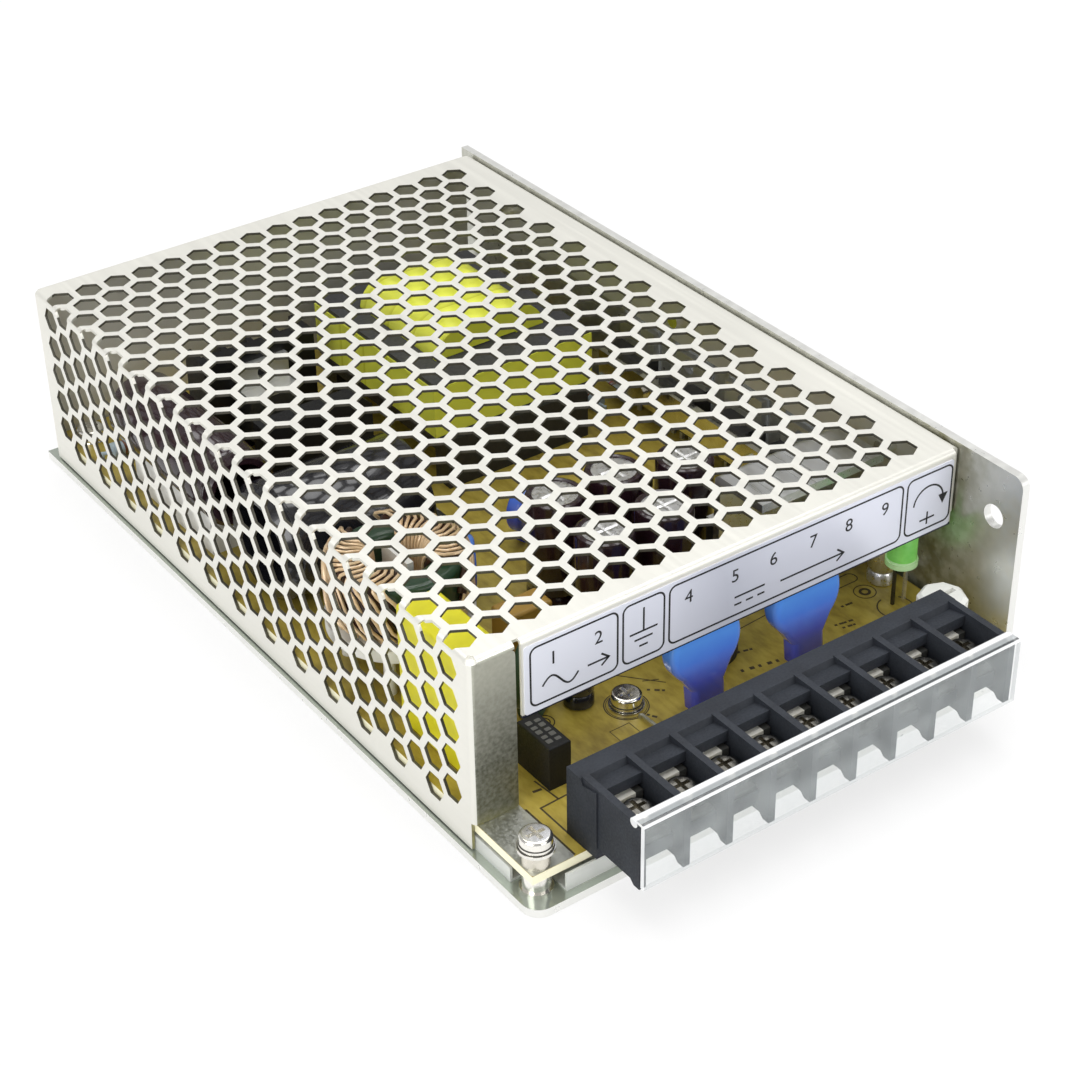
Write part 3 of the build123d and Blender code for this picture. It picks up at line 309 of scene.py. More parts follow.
def chassis_material():
    """Aluminium sheet, greener and smoother on the base, mottled deep inside the wall and darkened
    there with painted shade and a painted olive reflection of the board.
    """
    colour = (0.84, 0.84, 0.81)
    made = Surface("chassis_aluminium", colour, 0.3, metallic=0.7)
    plain = made.blotches(made.noise(0.03, detail=4.0), 0.15, (0.80, 0.80, 0.77), colour)
    rough = made.grey(made.noise(0.002, detail=4.0), 0.3, 0.7, 0.26, 0.4)
    a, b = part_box("chassis")
    skin = 3.0 * MM
    shaded_length = 50.0 * MM
    inner = made.both(made.looks_down("X"), made.above(made.axis("X"), b.x - skin))
    # Painted shade and a painted olive reflection of the board: the inner wall darkens from the front
    # opening inwards, with a mottle over it.
    deep = made.wavering(made.along("Y", a.y, a.y + shaded_length), 0.01, 0.08)
    pale_front = [(0.08, (0.66, 0.68, 0.66)), (0.22, (0.50, 0.50, 0.42))]
    shaded_olive_inside = [(0.4, (0.26, 0.25, 0.15)), (0.6, (0.5, 0.5, 0.44))]
    mottle = made.grey(made.noise(0.0022, detail=5.0), 0.4, 0.62, 0, 0.55)
    wall_shade_and_mottle = made.mix(mottle, made.ramp(deep, pale_front + shaded_olive_inside), (0.66, 0.66, 0.60))
    base = made.both(made.looks_up("Z"), made.below(made.axis("Z"), a.z + skin))
    made.feed("Base Color", made.mix(base, made.mix(inner, plain, wall_shade_and_mottle), (0.52, 0.57, 0.50)))
    made.feed("Roughness", made.math("MULTIPLY", rough, made.grey(base, 0, 1, 1.0, 0.35)))
    return made.material


def label_material():
    """Satin silver-blue film with a broad soft sheen painted along it: paler at the left, in painted
    shade towards the right.
    """
    colour = (0.76, 0.78, 0.87)
    made = Surface("label_film", colour, 0.32, metallic=0.2, Coat_Weight=0.3, Coat_Roughness=0.2)
    a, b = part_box("label")
    share = made.math("DIVIDE", made.math("SUBTRACT", made.axis("X"), a.x), b.x - a.x)
    cloud = made.math("MULTIPLY", made.noise(0.02, detail=1.0), 0.12)
    # Painted sheen and painted shade across the film, pale at the left and darker right of the
    # middle.
    painted_sheen_left = [(0.05, (0.80, 0.82, 0.90)), (0.36, (0.76, 0.78, 0.88))]
    shaded_right = [(0.5, (0.58, 0.60, 0.69)), (0.7, (0.72, 0.74, 0.84))]
    made.feed("Base Color", made.ramp(made.math("ADD", share, cloud), painted_sheen_left + shaded_right))
    made.bump(made.noise(0.0008), 0.000002, 0.3)
    return made.material


def plated_metal(name, colour=(0.93, 0.91, 0.85), roughness=0.16, grain=0.000001):
    """Bare or plated metal, slightly uneven in colour and shine."""
    made = Surface(name, colour, roughness, metallic=1.0)
    fine = made.noise(0.0006, detail=4.0)
    made.feed("Roughness", made.grey(fine, 0.3, 0.7, roughness * 0.7, roughness * 1.5))
    made.feed("Base Color", made.blotches(made.noise(0.0015), 0.1, darker(colour, 0.9), colour))
    made.bump(made.noise(0.0004), grain, 0.4)
    return made.material


def moulded(name, colour, roughness=0.45, grain=0.0004, depth=0.000008, spread=0.12, **values):
    """Moulded plastic or epoxy with a fine grain and slightly uneven colour."""
    made = Surface(name, colour, roughness, **values)
    made.feed("Base Color", made.blotches(made.noise(0.004), 0.2, darker(colour, 1 - spread), colour))
    fine = made.noise(grain, detail=2.0)
    made.feed("Roughness", made.grey(fine, 0.3, 0.7, roughness * 0.85, min(1.0, roughness * 1.2)))
    made.bump(fine, depth, 0.6)
    return made.material


def board_material():
    """Phenolic board: mottled brown faces and pale cut edges."""
    made = Surface("phenolic_board", (0.42, 0.32, 0.06), 0.38, Coat_Weight=0.35, Coat_Roughness=0.2)
    fibres = made.noise(0.0012, detail=6.0, stretch=(1, 0.4, 1))
    cloud = made.noise(0.012)
    blend = made.math("ADD", made.math("MULTIPLY", fibres, 0.5), made.math("MULTIPLY", cloud, 0.5))
    browns = [(0.35, (0.27, 0.195, 0.028)), (0.5, (0.43, 0.325, 0.05)), (0.68, (0.56, 0.44, 0.085))]
    edge = made.grey(made.axis("Z", "Normal"), 0.45, 0.55, 1, 0)
    made.feed("Base Color", made.mix(edge, made.ramp(blend, browns), (0.90, 0.86, 0.62)))
    made.bump(fibres, 0.00001, 0.5)
    return made.material


def clear_material():
    """Clear strip: a hazy panel under a ledge whose bead and front edge carry painted highlights and
    painted dark lines, with a painted highlight on the end faces.
    """
    made = Surface("clear_plastic", (0.80, 0.84, 0.84), 0.12, Coat_Weight=0.6, Coat_Roughness=0.03)
    a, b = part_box("terminal_cover")
    share = made.along("Y", a.y, b.y)
    ledge = made.above(made.axis("Z"), b.z - 0.4 * MM)
    mostly = 0.7
    ends = made.above(made.facing("X"), mostly)
    foot = made.above(made.facing("Z"), mostly)
    white = (0.95, 0.96, 0.96)
    black = (0.05, 0.055, 0.06)
    # Painted highlights and painted dark lines across the bead, each with how much it covers.
    bands = [
        (0.0, white, 0.75),
        (0.1, white, 0.75),
        (0.14, black, 0.7),
        (0.23, black, 0.7),
        (0.28, (0.50, 0.53, 0.54), 0.45),
        (0.5, (0.58, 0.60, 0.61), 0.5),
        (0.6, white, 0.85),
    ]
    painted_bead_lights = made.ramp(share, [(position, colour) for position, colour, cover in bands])
    veil = made.ramp(share, [(position, (cover, cover, cover)) for position, colour, cover in bands])
    haze = made.grey(made.noise(0.004, detail=4.0), 0.35, 0.65, 0.14, 0.22)
    haze = made.math("MAXIMUM", haze, made.math("MULTIPLY", foot, 0.3))
    haze = made.math("MAXIMUM", haze, made.math("MULTIPLY", veil, ledge))
    made.feed("Alpha", made.math("MAXIMUM", haze, made.math("MULTIPLY", ends, 0.75)))
    tone = made.mix(ledge, (0.70, 0.75, 0.75), painted_bead_lights)
    # Painted highlight on the end faces.
    made.feed("Base Color", made.mix(ends, tone, (0.93, 0.94, 0.95)))
    made.bump(made.noise(0.004), 0.00001, 0.3)
    return made.material


def strip_material():
    """Tinned terminal strips, bright on the middle of each step and painted dark with shade
    everywhere else.
    """
    made = Surface("tinned_strip", (0.95, 0.92, 0.82), 0.25, metallic=0.25)
    a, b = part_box("terminal_strips")
    strip_width = 6.2 * MM
    gaps = 8
    step_height = 2.4 * MM
    pitch = (b.x - a.x - strip_width) / gaps
    first_cell = a.x + strip_width / 2 - pitch / 2
    cells = made.math("DIVIDE", made.math("SUBTRACT", made.axis("X"), first_cell), pitch)
    from_middle = made.math("SUBTRACT", made.math("FRACT", cells), 0.5)
    middle = made.below(made.math("ABSOLUTE", from_middle), 0.22)
    step = made.both(middle, made.above(made.axis("Z"), b.z - step_height))
    worn = made.blotches(made.noise(0.0008), 0.15, (0.90, 0.87, 0.76), (0.98, 0.96, 0.88))
    # Painted shade: all but the middle of each step is coloured near black.
    made.feed("Base Color", made.mix(step, (0.07, 0.07, 0.065), worn))
    made.bump(made.noise(0.0006), 0.000004, 0.3)
    return made.material


def disc_material():
    """Glossy dipped epoxy with painted shade, darker towards the board and paler at the top."""
    made = Surface("blue_epoxy", (0.10, 0.25, 0.85), 0.16, Coat_Weight=0.7, Coat_Roughness=0.05)
    # Painted shade that deepens towards the board, paler at the top.
    stops = [(0.0, (0.04, 0.045, 0.38)), (0.45, (0.055, 0.10, 0.74)), (1.0, (0.12, 0.36, 1.0))]
    disc_height = 14.0 * MM
    rise = made.along("Z", BOARD_TOP, BOARD_TOP + disc_height)
    made.feed("Base Color", made.ramp(made.wavering(rise, 0.003, 0.06), stops))
    made.bump(made.noise(0.002, detail=2.0), 0.00005, 0.5)
    return made.material


def lamp_material():
    """Diffusing green lens with a pale skirt."""
    green = (0.22, 0.60, 0.13)
    made = Surface("green_lens", green, 0.14, Transmission_Weight=0.3, Emission_Strength=0.12)
    made.set("Emission Color", (0.3, 0.8, 0.2, 1))
    skirt_height = 1.3 * MM
    skirt = made.below(made.axis("Z"), low("indicator_lamp").z + skirt_height)
    body = made.blotches(made.noise(0.003), 0.2, (0.16, 0.52, 0.10), (0.30, 0.70, 0.17))
    made.feed("Base Color", made.mix(skirt, body, (0.62, 0.72, 0.52)))
    return made.material


def lead_material():
    """Two leads, the left one in shade."""
    made = Surface("tinned_leads", (0.86, 0.84, 0.76), 0.22, metallic=0.8)
    a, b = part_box("lamp_leads")
    worn = made.blotches(made.noise(0.001), 0.2, (0.7, 0.68, 0.6), (0.9, 0.88, 0.8))
    left = made.below(made.axis("X"), (a.x + b.x) / 2)
    made.feed("Base Color", made.mix(left, worn, (0.09, 0.085, 0.07)))
    return made.material


def film_material():
    """Milky insulating film that lets some light through."""
    made = Surface("insulating_film", (0.86, 0.88, 0.84), 0.32, Transmission_Weight=0.35, IOR=1.4)
    cloud = made.noise(0.006)
    made.feed("Base Color", made.blotches(cloud, 0.2, (0.78, 0.8, 0.76), (0.9, 0.92, 0.88)))
    made.bump(cloud, 0.00004, 0.5)
    return made.material


def package_material(body_low, body_high):
    """Black package whose legs and tab, below and above the moulded body, are tinned metal."""
    black = (0.03, 0.03, 0.032)
    made = Surface("power_package", black, 0.5)
    z = made.axis("Z")
    metal = made.math("MAXIMUM", made.below(z, body_low), made.above(z, body_high))
    made.feed("Base Color", made.mix(metal, black, (0.72, 0.72, 0.7)))
    made.feed("Metallic", metal)
    made.bump(made.noise(0.0005), 0.00001, 0.5)
    return made.material


def striped_tape(name, colour, edge, pitch, axis):
    """Wound polyester tape: glossy, with the edges of its turns showing."""
    made = Surface(name, colour, 0.25, Coat_Weight=0.4, Coat_Roughness=0.1)
    turn = made.math("FRACT", made.math("DIVIDE", made.axis(axis), pitch))
    line = made.grey(turn, 0.0, 0.12, 1, 0)
    made.feed("Base Color", made.mix(line, colour, edge))
    wave = made.noise(0.005, detail=2.0)
    made.bump(made.math("ADD", wave, line), 0.00006, 0.5)
    return made.material


def ring_core(name, colour):
    """Painted ferrite ring with a slightly lumpy coat."""
    made = Surface(name, colour, 0.35, Coat_Weight=0.5, Coat_Roughness=0.15)
    made.bump(made.noise(0.0012, detail=4.0), 0.00004, 0.5)
    return made.material


def wire_enamel(name, dark, light):
    """Enamelled copper wire in two mixed tones."""
    made = Surface(name, light, 0.3, metallic=0.15, Coat_Weight=0.5)
    made.feed("Base Color", made.blotches(made.noise(0.002), 0.2, dark, light))
    return made.material


def sleeve_film(name, colour):
    """Glossy shrunk film of a can."""
    return moulded(name, colour, 0.2, grain=0.002, Coat_Weight=0.5)


def shade_sheets():
    shade(chassis_material(), "chassis")
    shade(cover_material(), "cover")
    shade(label_material(), "label")
    shade(film_material(), "insulation_sheet")
    shade(board_material(), "circuit_board")


def shade_fasteners():
    plate = plated_metal("nickel_plate")
    shade(plate, "board_standoffs", "flat_washers", "spring_washers", "board_screws")
    shade(plate, "cover_screws", "clamp_screws", "clamp_bar")
    # The terminal screws' plating is darkened with painted shade and painted dark reflections of the
    # block around them.
    shade(plated_metal("shade_darkened_nickel", (0.50, 0.48, 0.43), 0.14, 0.00001), "terminal_screws")
    shade(plated_metal("shaded_nickel", (0.16, 0.155, 0.14), 0.3, 0.00001), "clamp_plates")
    shade(strip_material(), "terminal_strips")
    shade(lead_material(), "lamp_leads")
    shade(plated_metal("tinned_brass", (0.80, 0.76, 0.66), 0.3), "earth_bush")


def shade_front_parts():
    block = moulded("block_plastic", (0.024, 0.028, 0.036), 0.6, spread=0.3, Specular_IOR_Level=0.3)
    shade(block, "terminal_block")
    shade(clear_material(), "terminal_cover")
    shade(moulded("white_nylon", (0.82, 0.82, 0.78), 0.4, spread=0.05), "trimmer_knob", "choke_base")
    shade(moulded("trimmer_case", (0.75, 0.75, 0.70), 0.45), "trimmer_body")
    case = moulded("black_case", (0.012, 0.012, 0.013), 0.5, Specular_IOR_Level=0.3)
    shade(case, "fuse", "bridge_rectifier", "control_chip")
    shade(disc_material(), "front_disc_capacitors", "inner_disc_capacitors")
    shade(lamp_material(), "indicator_lamp")


def shade_wound_parts():
    bobbin = moulded("black_bobbin", (0.022, 0.022, 0.024), 0.5)
    shade(bobbin, "transformer_bobbin", "filter_coil", "diodes")
    shade(ring_core("green_core", (0.012, 0.05, 0.018)), "choke_core")
    shade(moulded("ferrite", (0.05, 0.05, 0.055), 0.55, grain=0.0008), "transformer_core")
    tape = striped_tape("winding_tape", (0.88, 0.92, 0.10), (0.70, 0.72, 0.05), 0.008, "Y")
    shade(tape, "transformer_winding", "transformer_tape")


def shade_board_parts():
    shade(moulded("pale_chip", (0.75, 0.75, 0.70), 0.5), "optocoupler")
    shade(moulded("thermistor_coat", (0.03, 0.07, 0.04), 0.4), "thermistor")
    shade(moulded("yellow_case", (0.92, 0.86, 0.03), 0.35), "x_capacitor")
    shade(moulded("film_box", (0.50, 0.30, 0.06), 0.35), "film_capacitor")
    shade(moulded("sealant", (0.85, 0.85, 0.82), 0.5, grain=0.003, depth=0.0002), "silicone_bed")
    shade(moulded("resistor_body", (0.45, 0.55, 0.62), 0.4), "resistors")
    sleeve_black = sleeve_film("black_sleeve", (0.016, 0.015, 0.02))
    shade(sleeve_black, "bulk_capacitor", "second_capacitor", "output_capacitors")
    shade(sleeve_black, "aux_capacitor", "small_capacitors")


def shade_heatsinks():
    shade(moulded("grey_pad", (0.42, 0.44, 0.45), 0.7), "thermal_pads")
    sink = rolled_sheet("sink_aluminium", (0.85, 0.86, 0.86), 0.25, 0.4, 0.0004)
    shade(sink.material, "output_heatsink")
    shade(moulded("black_anodised", (0.02, 0.02, 0.022), 0.35, Metallic=0.6), "bar_heatsink")
    leg_length = 2.8 * MM
    body_length = 9.2 * MM
    body_low = low("wall_packages").z + leg_length
    package = package_material(body_low, body_low + body_length)
    shade(package, "wall_packages", "output_rectifiers", "switch_package")


def assign_materials():
    shade_sheets()
    shade_fasteners()
    shade_front_parts()
    shade_wound_parts()
    shade_board_parts()
    shade_heatsinks()


# Studio


FLOOR_SIZE = 6.0
FLOOR_GAP = 0.02 * MM
FLOOR_WHITE = 0.7
WORLD_STRENGTH = 0.48


def grey_shader(tree, kind, grey, strength=None):
    """A shader node of an even grey. Returns its output."""
    made = tree.nodes.new(kind)
    made.inputs["Color"].default_value = (grey, grey, grey, 1)
    if strength is not None:
        made.inputs["Strength"].default_value = strength
    return made.outputs[0]


def seen_by(tree, *kinds):
    """One for rays of any of these kinds."""
    path = tree.nodes.new("ShaderNodeLightPath")
    made = path.outputs[kinds[0]]
    for kind in kinds[1:]:
        either = tree.nodes.new("ShaderNodeMath")
        either.operation = "MAXIMUM"
        tree.links.new(made, either.inputs[0])
        tree.links.new(path.outputs[kind], either.inputs[1])
        made = either.outputs[0]
    return made


def mix_to_output(tree, kind, factor, first, second):
    """Sends a mix of two shaders to a new output node."""
    mix = tree.nodes.new("ShaderNodeMixShader")
    for socket, source in zip(mix.inputs, (factor, first, second)):
        tree.links.new(source, socket)
    output = tree.nodes.new(kind)
    tree.links.new(mix.outputs[0], output.inputs["Surface"])


def make_floor():
    """A pale plane that shows as white and still takes the part's shadow."""
    bpy.ops.mesh.primitive_plane_add(size=FLOOR_SIZE, location=(0, 0, -FLOOR_GAP))
    floor = bpy.context.object
    floor.name = "floor"
    made = bpy.data.materials.new("pale_floor")
    made.use_nodes = True
    tree = made.node_tree
    tree.nodes.clear()
    diffuse = grey_shader(tree, "ShaderNodeBsdfDiffuse", 0.86)
    glow = grey_shader(tree, "ShaderNodeEmission", 1.0, 1.0)
    share = tree.nodes.new("ShaderNodeMath")
    share.operation = "MULTIPLY"
    seen = seen_by(tree, "Is Camera Ray", "Is Transmission Ray", "Is Glossy Ray")
    tree.links.new(seen, share.inputs[0])
    share.inputs[1].default_value = FLOOR_WHITE
    mix_to_output(tree, "ShaderNodeOutputMaterial", share.outputs[0], diffuse, glow)
    floor.data.materials.append(made)


def make_world():
    """Even light from all round, seen as white behind the part."""
    world = bpy.data.worlds.new("studio")
    scene.world = world
    world.use_nodes = True
    tree = world.node_tree
    tree.nodes.clear()
    plain = grey_shader(tree, "ShaderNodeBackground", 1.0, WORLD_STRENGTH)
    white = grey_shader(tree, "ShaderNodeBackground", 1.0, 1.0)
    seen = seen_by(tree, "Is Camera Ray", "Is Transmission Ray")
    mix_to_output(tree, "ShaderNodeOutputWorld", seen, plain, white)


def soft_lamp(name, place, aim, size, power):
    """An area lamp turned towards a point."""
    data = bpy.data.lights.new(name, "AREA")
    data.shape = "RECTANGLE"
    data.size, data.size_y = size
    data.energy = power
    lamp = bpy.data.objects.new(name, data)
    lamp.location = place
    lamp.rotation_mode = "QUATERNION"
    lamp.rotation_quaternion = (Vector(aim) - Vector(place)).to_track_quat("-Z", "Y")
    scene.collection.objects.link(lamp)


def make_lamps():
    centre = (0, 0, 0.02)
    soft_lamp("top_lamp", (0.05, 0.1, 0.75), centre, (0.7, 0.7), 5.0)
    soft_lamp("left_lamp", (-0.75, -0.25, 0.35), centre, (0.5, 0.5), 3.4)
    soft_lamp("front_lamp", (0.25, -0.85, 0.4), centre, (0.6, 0.4), 3.4)


# Meshes


def piece(name, body_mesh, material, body=CASE, smooth=True):
    """A new piece made from a bmesh, riding on a body."""
    mesh = bpy.data.meshes.new(name)
    bmesh.ops.recalc_face_normals(body_mesh, faces=body_mesh.faces)
    body_mesh.to_mesh(mesh)
    body_mesh.free()
    mesh.materials.append(material)
    if smooth:
        mesh.shade_smooth()
        mesh.set_sharp_from_angle(angle=math.radians(35))
    made = bpy.data.objects.new(name, mesh)
    scene.collection.objects.link(made)
    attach(made, body)
    return made


def add_ribbon(mesh, points, width, closed, place, thickness):
    """A flat ribbon along points in a plane, as a closed form.

    The place maps (u, v, height) to the part.
    """
    count = len(points)
    sides = []
    for k, point in enumerate(points):
        before = points[k - 1] if k > 0 or closed else point
        after = points[(k + 1) % count] if k < count - 1 or closed else point
        first = (Vector(point) - Vector(before)).normalized() if before != point else None
        second = (Vector(after) - Vector(point)).normalized() if after != point else None
        along = (first or second) + (second or first)
        along.normalize()
        normal = Vector((-along.y, along.x))
        edge = first or second
        stretch = 1 / max(0.3, abs(normal.dot(Vector((-edge.y, edge.x)))))
        offset = normal * (width / 2 * stretch)
        sides.append((Vector(point) + offset, Vector(point) - offset))
    rings = []
    for a, b in sides:
        corners = [(a, 0), (b, 0), (b, thickness), (a, thickness)]
        rings.append([mesh.verts.new(place @ Vector((p.x, p.y, h))) for p, h in corners])
    spans = count if closed else count - 1
    for k in range(spans):
        here = rings[k]
        there = rings[(k + 1) % count]
        for i in range(4):
            j = (i + 1) % 4
            mesh.faces.new((here[i], here[j], there[j], there[i]))
    if not closed:
        mesh.faces.new(rings[0])
        mesh.faces.new(rings[-1])


def add_patch(mesh, points, place, thickness):
    """A filled outline, as a closed form."""
    lower = [mesh.verts.new(place @ Vector((u, v, 0))) for u, v in points]
    upper = [mesh.verts.new(place @ Vector((u, v, thickness))) for u, v in points]
    count = len(points)
    mesh.faces.new(lower)
    mesh.faces.new(upper)
    for k in range(count):
        j = (k + 1) % count
        mesh.faces.new((lower[k], lower[j], upper[j], upper[k]))


def arc(cx, cy, radius, start, end, steps=24):
    turns = [math.radians(start + (end - start) * k / steps) for k in range(steps + 1)]
    return [(cx + radius * math.cos(t), cy + radius * math.sin(t)) for t in turns]


def rounded_outline(u0, u1, v0, v1, radius, steps=6):
    corners = [(u1 - radius, v1 - radius, 0), (u0 + radius, v1 - radius, 90)]
    corners += [(u0 + radius, v0 + radius, 180), (u1 - radius, v0 + radius, 270)]
    points = []
    for cu, cv, turn in corners:
        points += arc(cu, cv, radius, turn, turn + 90, steps)
    return points


def circle(cx, cy, radius, steps=32):
    return arc(cx, cy, radius, 0, 360, steps)[:-1]


def add_text(mesh, text, u, v, size, place, thickness):
    """Plain figures set in the default typeface, centred at u, v."""
    curve = bpy.data.curves.new("figure", "FONT")
    curve.body = text
    curve.size = size
    curve.align_x = "CENTER"
    curve.align_y = "CENTER"
    curve.extrude = thickness / 2
    source = bpy.data.objects.new("figure", curve)
    scene.collection.objects.link(source)
    shape = bpy.data.meshes.new_from_object(source)
    shape.transform(place @ Matrix.Translation((u, v, thickness / 2)))
    mesh.from_mesh(shape)
    bpy.data.objects.remove(source)
    bpy.data.curves.remove(curve)
    bpy.data.meshes.remove(shape)


def add_tube(mesh, points, radius, sides=8, closed=False):
    """A round wire along points in space."""
    rings = []
    count = len(points)
    guide = Vector((0.31, 0.17, 0.93)).normalized()
    for k, point in enumerate(points):
        before = points[k - 1] if k > 0 or closed else point
        after = points[(k + 1) % count] if k < count - 1 or closed else point
        along = (Vector(after) - Vector(before)).normalized()
        across = along.cross(guide)
        if across.length < 0.05:
            across = along.cross(Vector((1, 0, 0)))
        across.normalize()
        other = along.cross(across)
        guide = across.cross(along) if along.cross(guide).length > 0.05 else guide
        ring = []
        for i in range(sides):
            turn = 2 * math.pi * i / sides
            offset = (across * math.cos(turn) + other * math.sin(turn)) * radius
            ring.append(mesh.verts.new(Vector(point) + offset))
        rings.append(ring)
    for k in range(count if closed else count - 1):
        here = rings[k]
        there = rings[(k + 1) % count]
        for i in range(sides):
            j = (i + 1) % sides
            mesh.faces.new((here[i], here[j], there[j], there[i]))
    if not closed:
        mesh.faces.new(rings[0])
        mesh.faces.new(list(reversed(rings[-1])))


def add_lathe(mesh, outline, place, steps=48):
    """Turns an outline of (radius, height) pairs about the local Z axis.

    The ends close on the axis or on each other.
    """
    rings = []
    for radius, height in outline:
        if radius == 0:
            rings.append([mesh.verts.new(place @ Vector((0, 0, height)))])
            continue
        ring = []
        for k in range(steps):
            turn = 2 * math.pi * k / steps
            corner = Vector((radius * math.cos(turn), radius * math.sin(turn), height))
            ring.append(mesh.verts.new(place @ corner))
        rings.append(ring)
    spans = list(zip(rings, rings[1:]))
    if outline[0][0] > 0:
        spans.append((rings[-1], rings[0]))
    for here, there in spans:
        for k in range(steps):
            j = (k + 1) % steps
            if len(here) == 1 and len(there) == 1:
                continue
            if len(here) == 1:
                mesh.faces.new((here[0], there[k], there[j]))
            elif len(there) == 1:
                mesh.faces.new((here[k], here[j], there[0]))
            else:
                mesh.faces.new((here[k], here[j], there[j], there[k]))


def add_band(mesh, place, start, inner, outer, width, steps):
    """A flat ring round the local Z axis, from a start along it."""
    outline = [(inner, 0), (outer, 0), (outer, width), (inner, width)]
    add_lathe(mesh, outline, place @ Matrix.Translation((0, 0, start)), steps)


# Label print: outlined fields, plain numbers and standard symbols

PRINT_THICKNESS = 0.03 * MM
LINE = 0.32 * MM


def label_place():
    front = low("label").y
    return Matrix(((1, 0, 0, 0), (0, 0, -1, front), (0, 1, 0, 0), (0, 0, 0, 1)))


def make_label_print(ink):
    mesh = bmesh.new()
    place = label_place()

    def line(points, closed=False, width=LINE):
        route = [(u * MM, v * MM) for u, v in points]
        add_ribbon(mesh, route, width, closed, place, PRINT_THICKNESS)

    def figure(text, u, v, size=3.3):
        add_text(mesh, text, u * MM, v * MM, size * MM, place, PRINT_THICKNESS)

    fields = [(-37.8, -22.0), (-21.0, -13.3), (-12.3, 34.7), (35.7, 45.4)]
    for u0, u1 in fields:
        line(rounded_outline(u0, u1, 24.4, 34.9, 1.2), closed=True)
    figure("1", -33.7, 31.6)
    figure("2", -25.5, 31.6)
    steps = 24
    shares = [k / steps for k in range(steps + 1)]
    line([(-35.7 + 6.5 * share, 27.3 + 1.3 * math.sin(2 * math.pi * share)) for share in shares])
    line([(-27.5, 27.4), (-23.6, 27.4)])
    line([(-25.0, 28.5), (-23.6, 27.4), (-25.0, 26.3)])
    line([(-17.15, 33.5), (-17.15, 29.3)])
    for half, height in ((2.6, 29.3), (1.7, 28.0), (0.8, 26.7)):
        line([(-17.15 - half, height), (-17.15 + half, height)])
    for k, u in enumerate((-8.6, 0.4, 8.0, 16.0, 23.4, 31.0)):
        figure(str(k + 4), u, 31.7)
    line([(0.4, 27.7), (6.4, 27.7)])
    for k in range(3):
        line([(0.4 + 2.3 * k, 26.3), (1.8 + 2.3 * k, 26.3)])
    line([(9.6, 27.0), (22.6, 27.0)])
    line([(21.2, 28.1), (22.6, 27.0), (21.2, 25.9)])
    line(arc(40.5, 29.3, 3.2, 175, 5))
    arrow_head = [(42.7 * MM, 29.9 * MM), (43.7 * MM, 28.0 * MM), (44.7 * MM, 29.9 * MM)]
    add_patch(mesh, arrow_head, place, PRINT_THICKNESS)
    line([(38.9, 26.3), (42.1, 26.3)])
    line([(40.5, 25.2), (40.5, 27.6)])
    return piece("label_print", mesh, ink, smooth=False)


# Board print and solder

GROUND_SCREW = (-12.5, -53.7)


def make_board_print(ink):
    mesh = bmesh.new()
    place = Matrix.Translation((0, 0, BOARD_TOP))

    def line(points, closed=False, width=0.2):
        route = [(u * MM, v * MM) for u, v in points]
        add_ribbon(mesh, route, width * MM, closed, place, PRINT_THICKNESS)

    def ring(x, y, radius, width=0.2):
        line(circle(x, y, radius), closed=True, width=width)

    def dashes(x, y, count, step=1.5, turn=0.0, width=0.45):
        across = Vector((math.cos(math.radians(turn)), math.sin(math.radians(turn))))
        for k in range(count):
            start = Vector((x, y)) + across * (step * k)
            line([tuple(start), tuple(start + across * (0.5 + 0.35 * (k % 2)))], width=width)

    ring(*GROUND_SCREW, 3.6)
    ring(*GROUND_SCREW, 3.3, 0.12)
    line([(-37.8, -77.0), (-37.8, -65.7), (-32.8, -65.5)], width=0.3)
    line([(-39.8, -64.6), (-39.8, -77.0)], width=0.35)
    line([(-34.9, -60.0), (-34.4, -65.5)], width=0.3)
    line([(-36.6, -62.0), (-35.1, -62.2)], width=0.5)
    line([(-18.6, -57.4), (-18.6, -61.6), (-14.8, -61.6), (-14.8, -57.4)], closed=True, width=0.12)
    line([(-9.4, -46.1), (-3.8, -52.7)])
    line([(-6.6, -50.2), (-4.2, -51.4)])
    dashes(-7.4, -52.4, 3, 1.2, -40)
    dashes(-11.3, -57.4, 2, 0.9, -60)
    dashes(7.7, -57.6, 5, 1.6, -12, 0.7)
    dashes(10.4, -53.4, 3, 1.1, -15)
    dashes(28.0, -57.3, 4, 0.9, -10)
    dashes(28.6, -58.6, 3, 1.0, -10)
    dashes(32.4, -54.0, 3, 0.9, -5)
    ring(38.5, -53.1, 1.9)
    ring(38.5, -53.1, 0.8, 0.5)
    line(arc(39.6, -59.5, 3.1, 100, 400), width=0.25)
    for radius in (1.0, 1.7):
        line(arc(-25.4, -49.3, radius, -150, 60))
    line(rounded_outline(34.6, 40.4, -49.8, -47.4, 1.1), closed=True)
    line([(14.2, -48.7), (21.2, -48.2)])
    line(rounded_outline(2.2, 13.2, -68.6, -63.4, 0.4), closed=True)
    ring(30.2, -66.6, 2.2)
    ring(30.2, -66.6, 0.9)
    line([(34.6, -64.6), (34.6, -74.2), (46.0, -74.2), (46.0, -64.6)], closed=True)
    return piece("board_print", mesh, ink, smooth=False)


def make_solder(metal):
    """Tinned land round the corner screw and small solder lands on the board."""
    mesh = bmesh.new()
    place = Matrix.Translation((0, 0, BOARD_TOP))
    a = low("circuit_board") / MM
    edge = 0.05
    corner = rounded_outline(a.x + edge, -40.0, a.y + edge, -62.5, 0.3)
    add_patch(mesh, [(u * MM, v * MM) for u, v in corner], place, 0.06 * MM)
    drop = [(0, 0.2), (0.45, 0.15), (0.8, 0.03), (0.8, 0.0), (0, 0.0)]
    outline = [(radius * MM, height * MM) for radius, height in drop]
    for x, y in ((-26.6, -48.6), (4.0, -69.2), (30.2, -66.6)):
        add_lathe(mesh, outline, Matrix.Translation((x * MM, y * MM, BOARD_TOP)), 20)
    return piece("solder_lands", mesh, metal)


